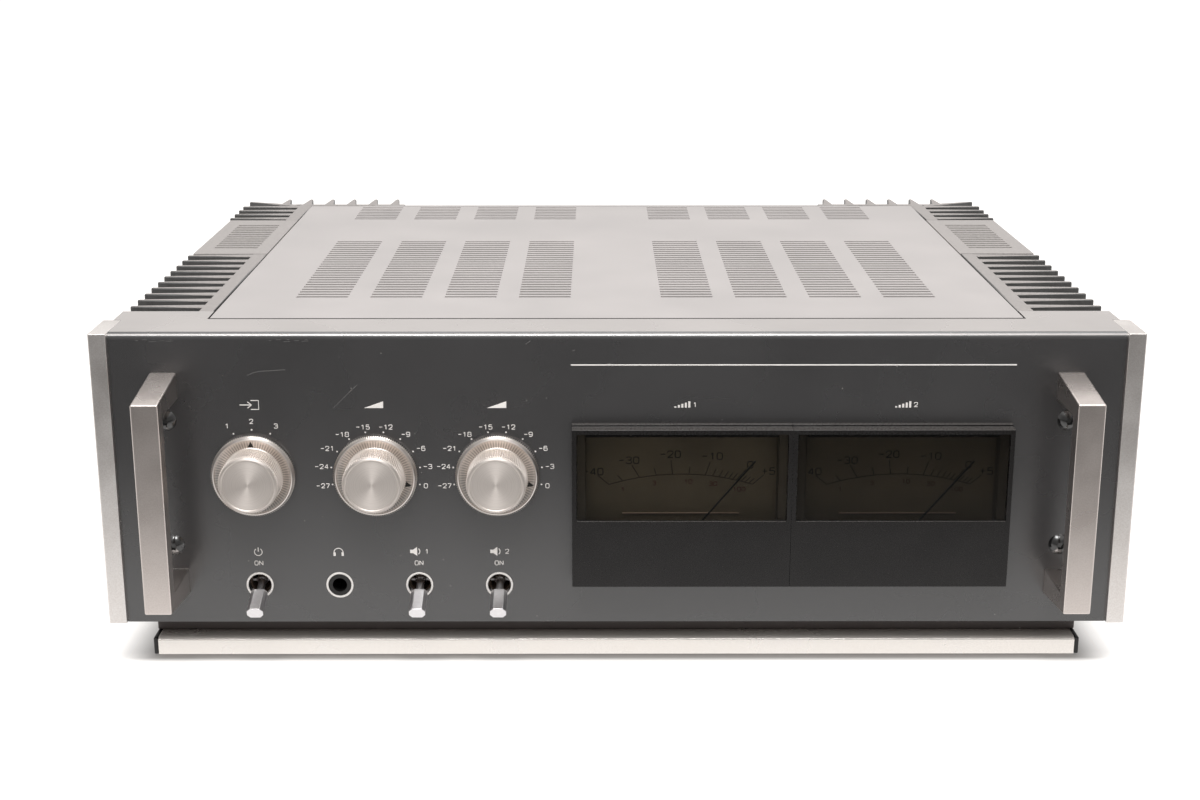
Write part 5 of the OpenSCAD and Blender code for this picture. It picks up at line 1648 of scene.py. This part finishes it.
@dataclass(frozen=True)
class PaperFloor(Finish):
    """White paper sweep: it darkens round the part, and in reflections its far front is dim.

    The shadow falls off from a footprint, at its own pace along each axis.
    """

    name: str = "pale_paper_floor"
    dark: str = "#75706d"
    light: str = "#c8c6c4"
    bounce: str = "#fbfaf8"
    unlit: str = "#000000"
    glow: str = WHITE
    roughness: float = 0.9
    footprint: Triple = (0.203, 0.153, 1.0)
    shadow_fall: Triple = (1.6, 7.0, 1.0)
    shadow_m: float = 0.045
    shadow_glow: Pair = (0.12, 0.85)
    mirror_y: Pair = (-0.5, -0.22)
    mirror_glow: Pair = (0.18, 1.0)

    def wire(self, add: Adder) -> dict:
        """Add the shadow, the glow and what reflections show.

        Args:
            add: Adds a node and gives its outputs.

        Returns:
            What feeds the shader.
        """
        soft = {"interpolation_type": "SMOOTHSTEP"}
        place = add("TexCoord")["Object"]
        depth = add("SeparateXYZ", [place])["Y"]
        mirrored = add("MapRange", [depth, *self.mirror_y, *self.mirror_glow], **soft)[0]
        path = add("LightPath")
        seen, in_metal = path["Is Camera Ray"], path["Is Glossy Ray"]
        beside = add("VectorMath", [place], operation="ABSOLUTE")[0]
        past = add("VectorMath", [beside, self.footprint], operation="SUBTRACT")[0]
        outside = add("VectorMath", [past, (0.0, 0.0, 0.0)], operation="MAXIMUM")[0]
        steeper = add("VectorMath", [outside, self.shadow_fall], operation="MULTIPLY")[0]
        away = add("VectorMath", [steeper], operation="LENGTH")["Value"]
        open_floor = add("MapRange", [away, 0.0, self.shadow_m, *self.shadow_glow], **soft)[0]
        paper = add("Mix", {0: open_floor, 6: self.dark, 7: self.light}, **COLOURS)[2]
        plain = add("Mix", {0: seen, 6: self.bounce, 7: paper}, **COLOURS)[2]
        colour = add("Mix", {0: in_metal, 6: plain, 7: self.unlit}, **COLOURS)[2]
        shown = add("Math", [seen, open_floor], operation="MULTIPLY")[0]
        strength = add("Mix", {0: in_metal, 2: shown, 3: mirrored})[0]
        return {"Base Color": colour, "Roughness": self.roughness, "Specular IOR Level": 0.0,
                "Emission Color": self.glow, "Emission Strength": strength}


@dataclass
class Studio:
    """Pale floor, soft overhead light, white surroundings and the photograph's camera."""

    camera_place: Triple = (-0.0089, -0.9014, 0.3315)
    camera_down: float = 15.739
    camera_right: float = 0.111
    lens_mm: float = 53.78
    sensor_mm: float = 36.0
    near_m: float = 0.02
    floor_m: float = 12.0
    ambient: float = 0.5
    wall_y: Pair = (-0.5, 0.25)
    wall_glow: Pair = (0.35, 0.75)
    ceiling_z: Pair = (0.3, 0.75)
    ceiling_glow: Pair = (0.0, 0.95)
    lamps_aim: Triple = (0.0, -0.05, 0.1)
    key_watts: float = 16.0
    key_place: Triple = (-0.08, -0.75, 1.5)
    key_size: Pair = (0.95, 0.5)
    top_watts: float = 10.5
    top_place: Triple = (0.3, 0.55, 1.5)
    top_size: Pair = (1.8, 1.2)

    def build(self) -> None:
        """Set up the whole studio."""
        bpy.context.scene.view_settings.view_transform = "Standard"
        self._camera()
        self._floor()
        self._world()
        self._lamp(self.key_place, self.key_size, self.key_watts)
        self._lamp(self.top_place, self.top_size, self.top_watts)

    def _camera(self) -> None:
        """Stand the camera where the photograph was taken."""
        fresh()
        turn = (math.radians(90 - self.camera_down), 0.0, -math.radians(self.camera_right))
        bpy.ops.object.camera_add(location=self.camera_place, rotation=turn)
        camera = bpy.context.object
        camera.data.sensor_width = self.sensor_mm
        camera.data.lens = self.lens_mm
        camera.data.clip_start = self.near_m
        bpy.context.scene.camera = camera

    def _floor(self) -> None:
        """Lay the floor."""
        fresh()
        bpy.ops.mesh.primitive_plane_add(size=self.floor_m)
        floor = bpy.context.object
        floor.name = "floor"
        floor.data.materials.append(PaperFloor().material())

    def _world(self) -> None:
        """Surround the part with white for the eye and a half-dim room for its reflections."""
        world = bpy.data.worlds.new("white_surround")
        bpy.context.scene.world = world
        world.use_nodes = True
        tree = world.node_tree
        add = partial(add_node, tree)
        path = add("LightPath")
        towards = add("SeparateXYZ", [add("TexCoord")["Generated"]])
        walls = add("MapRange", [towards["Y"], *self.wall_y, *self.wall_glow])[0]
        ceiling = add("MapRange", [towards["Z"], *self.ceiling_z, *self.ceiling_glow])[0]
        room = add("Math", [walls, ceiling], operation="MAXIMUM")[0]
        soft = add("Mix", {0: path["Is Glossy Ray"], 2: self.ambient, 3: room})[0]
        seen = add("Math", [path["Is Camera Ray"], path["Is Transmission Ray"]], operation="MAXIMUM")[0]
        strength = add("Mix", {0: seen, 2: soft, 3: 1.0})[0]
        feed(tree, tree.nodes["Background"], {"Color": WHITE, "Strength": strength})

    def _lamp(self, place: Triple, size: Pair, watts: float) -> None:
        """Hang a soft lamp that shines at the part.

        Args:
            place: Where its middle hangs.
            size: Its width and height.
            watts: Its power.
        """
        fresh()
        turn = (Vector(self.lamps_aim) - Vector(place)).to_track_quat("-Z", "Y").to_euler()
        bpy.ops.object.light_add(type="AREA", location=place, rotation=turn)
        lamp = bpy.context.object.data
        lamp.shape = "RECTANGLE"
        lamp.size, lamp.size_y = size
        lamp.energy = watts


def main() -> None:
    """Build the studio and dress the amplifier, sub-assembly by sub-assembly."""
    logging.basicConfig(level=logging.INFO, format="%(name)s: %(message)s")
    Studio().build()
    Casework().build()
    FootRails().build()
    CarryHandles().build()
    for node, body, turn in (("input_knob", "input_knob", 0.0), ("left_level_knob", "left_level", 103.5),
                             ("right_level_knob", "right_level", 103.5)):
        ControlKnob(node, body, turn).build()
    row = ToggleRow()
    row.build()
    PanelPrint().build(row)
    WornMarks().build()
    for side, lens in (("left", NODE_FINISH[Slot.SMOKED_LENS]), ("right", DARKER_LENS)):
        LevelMeter(side, lens).build()
    RearPrint().build()


if __name__ == "__main__":
    main()
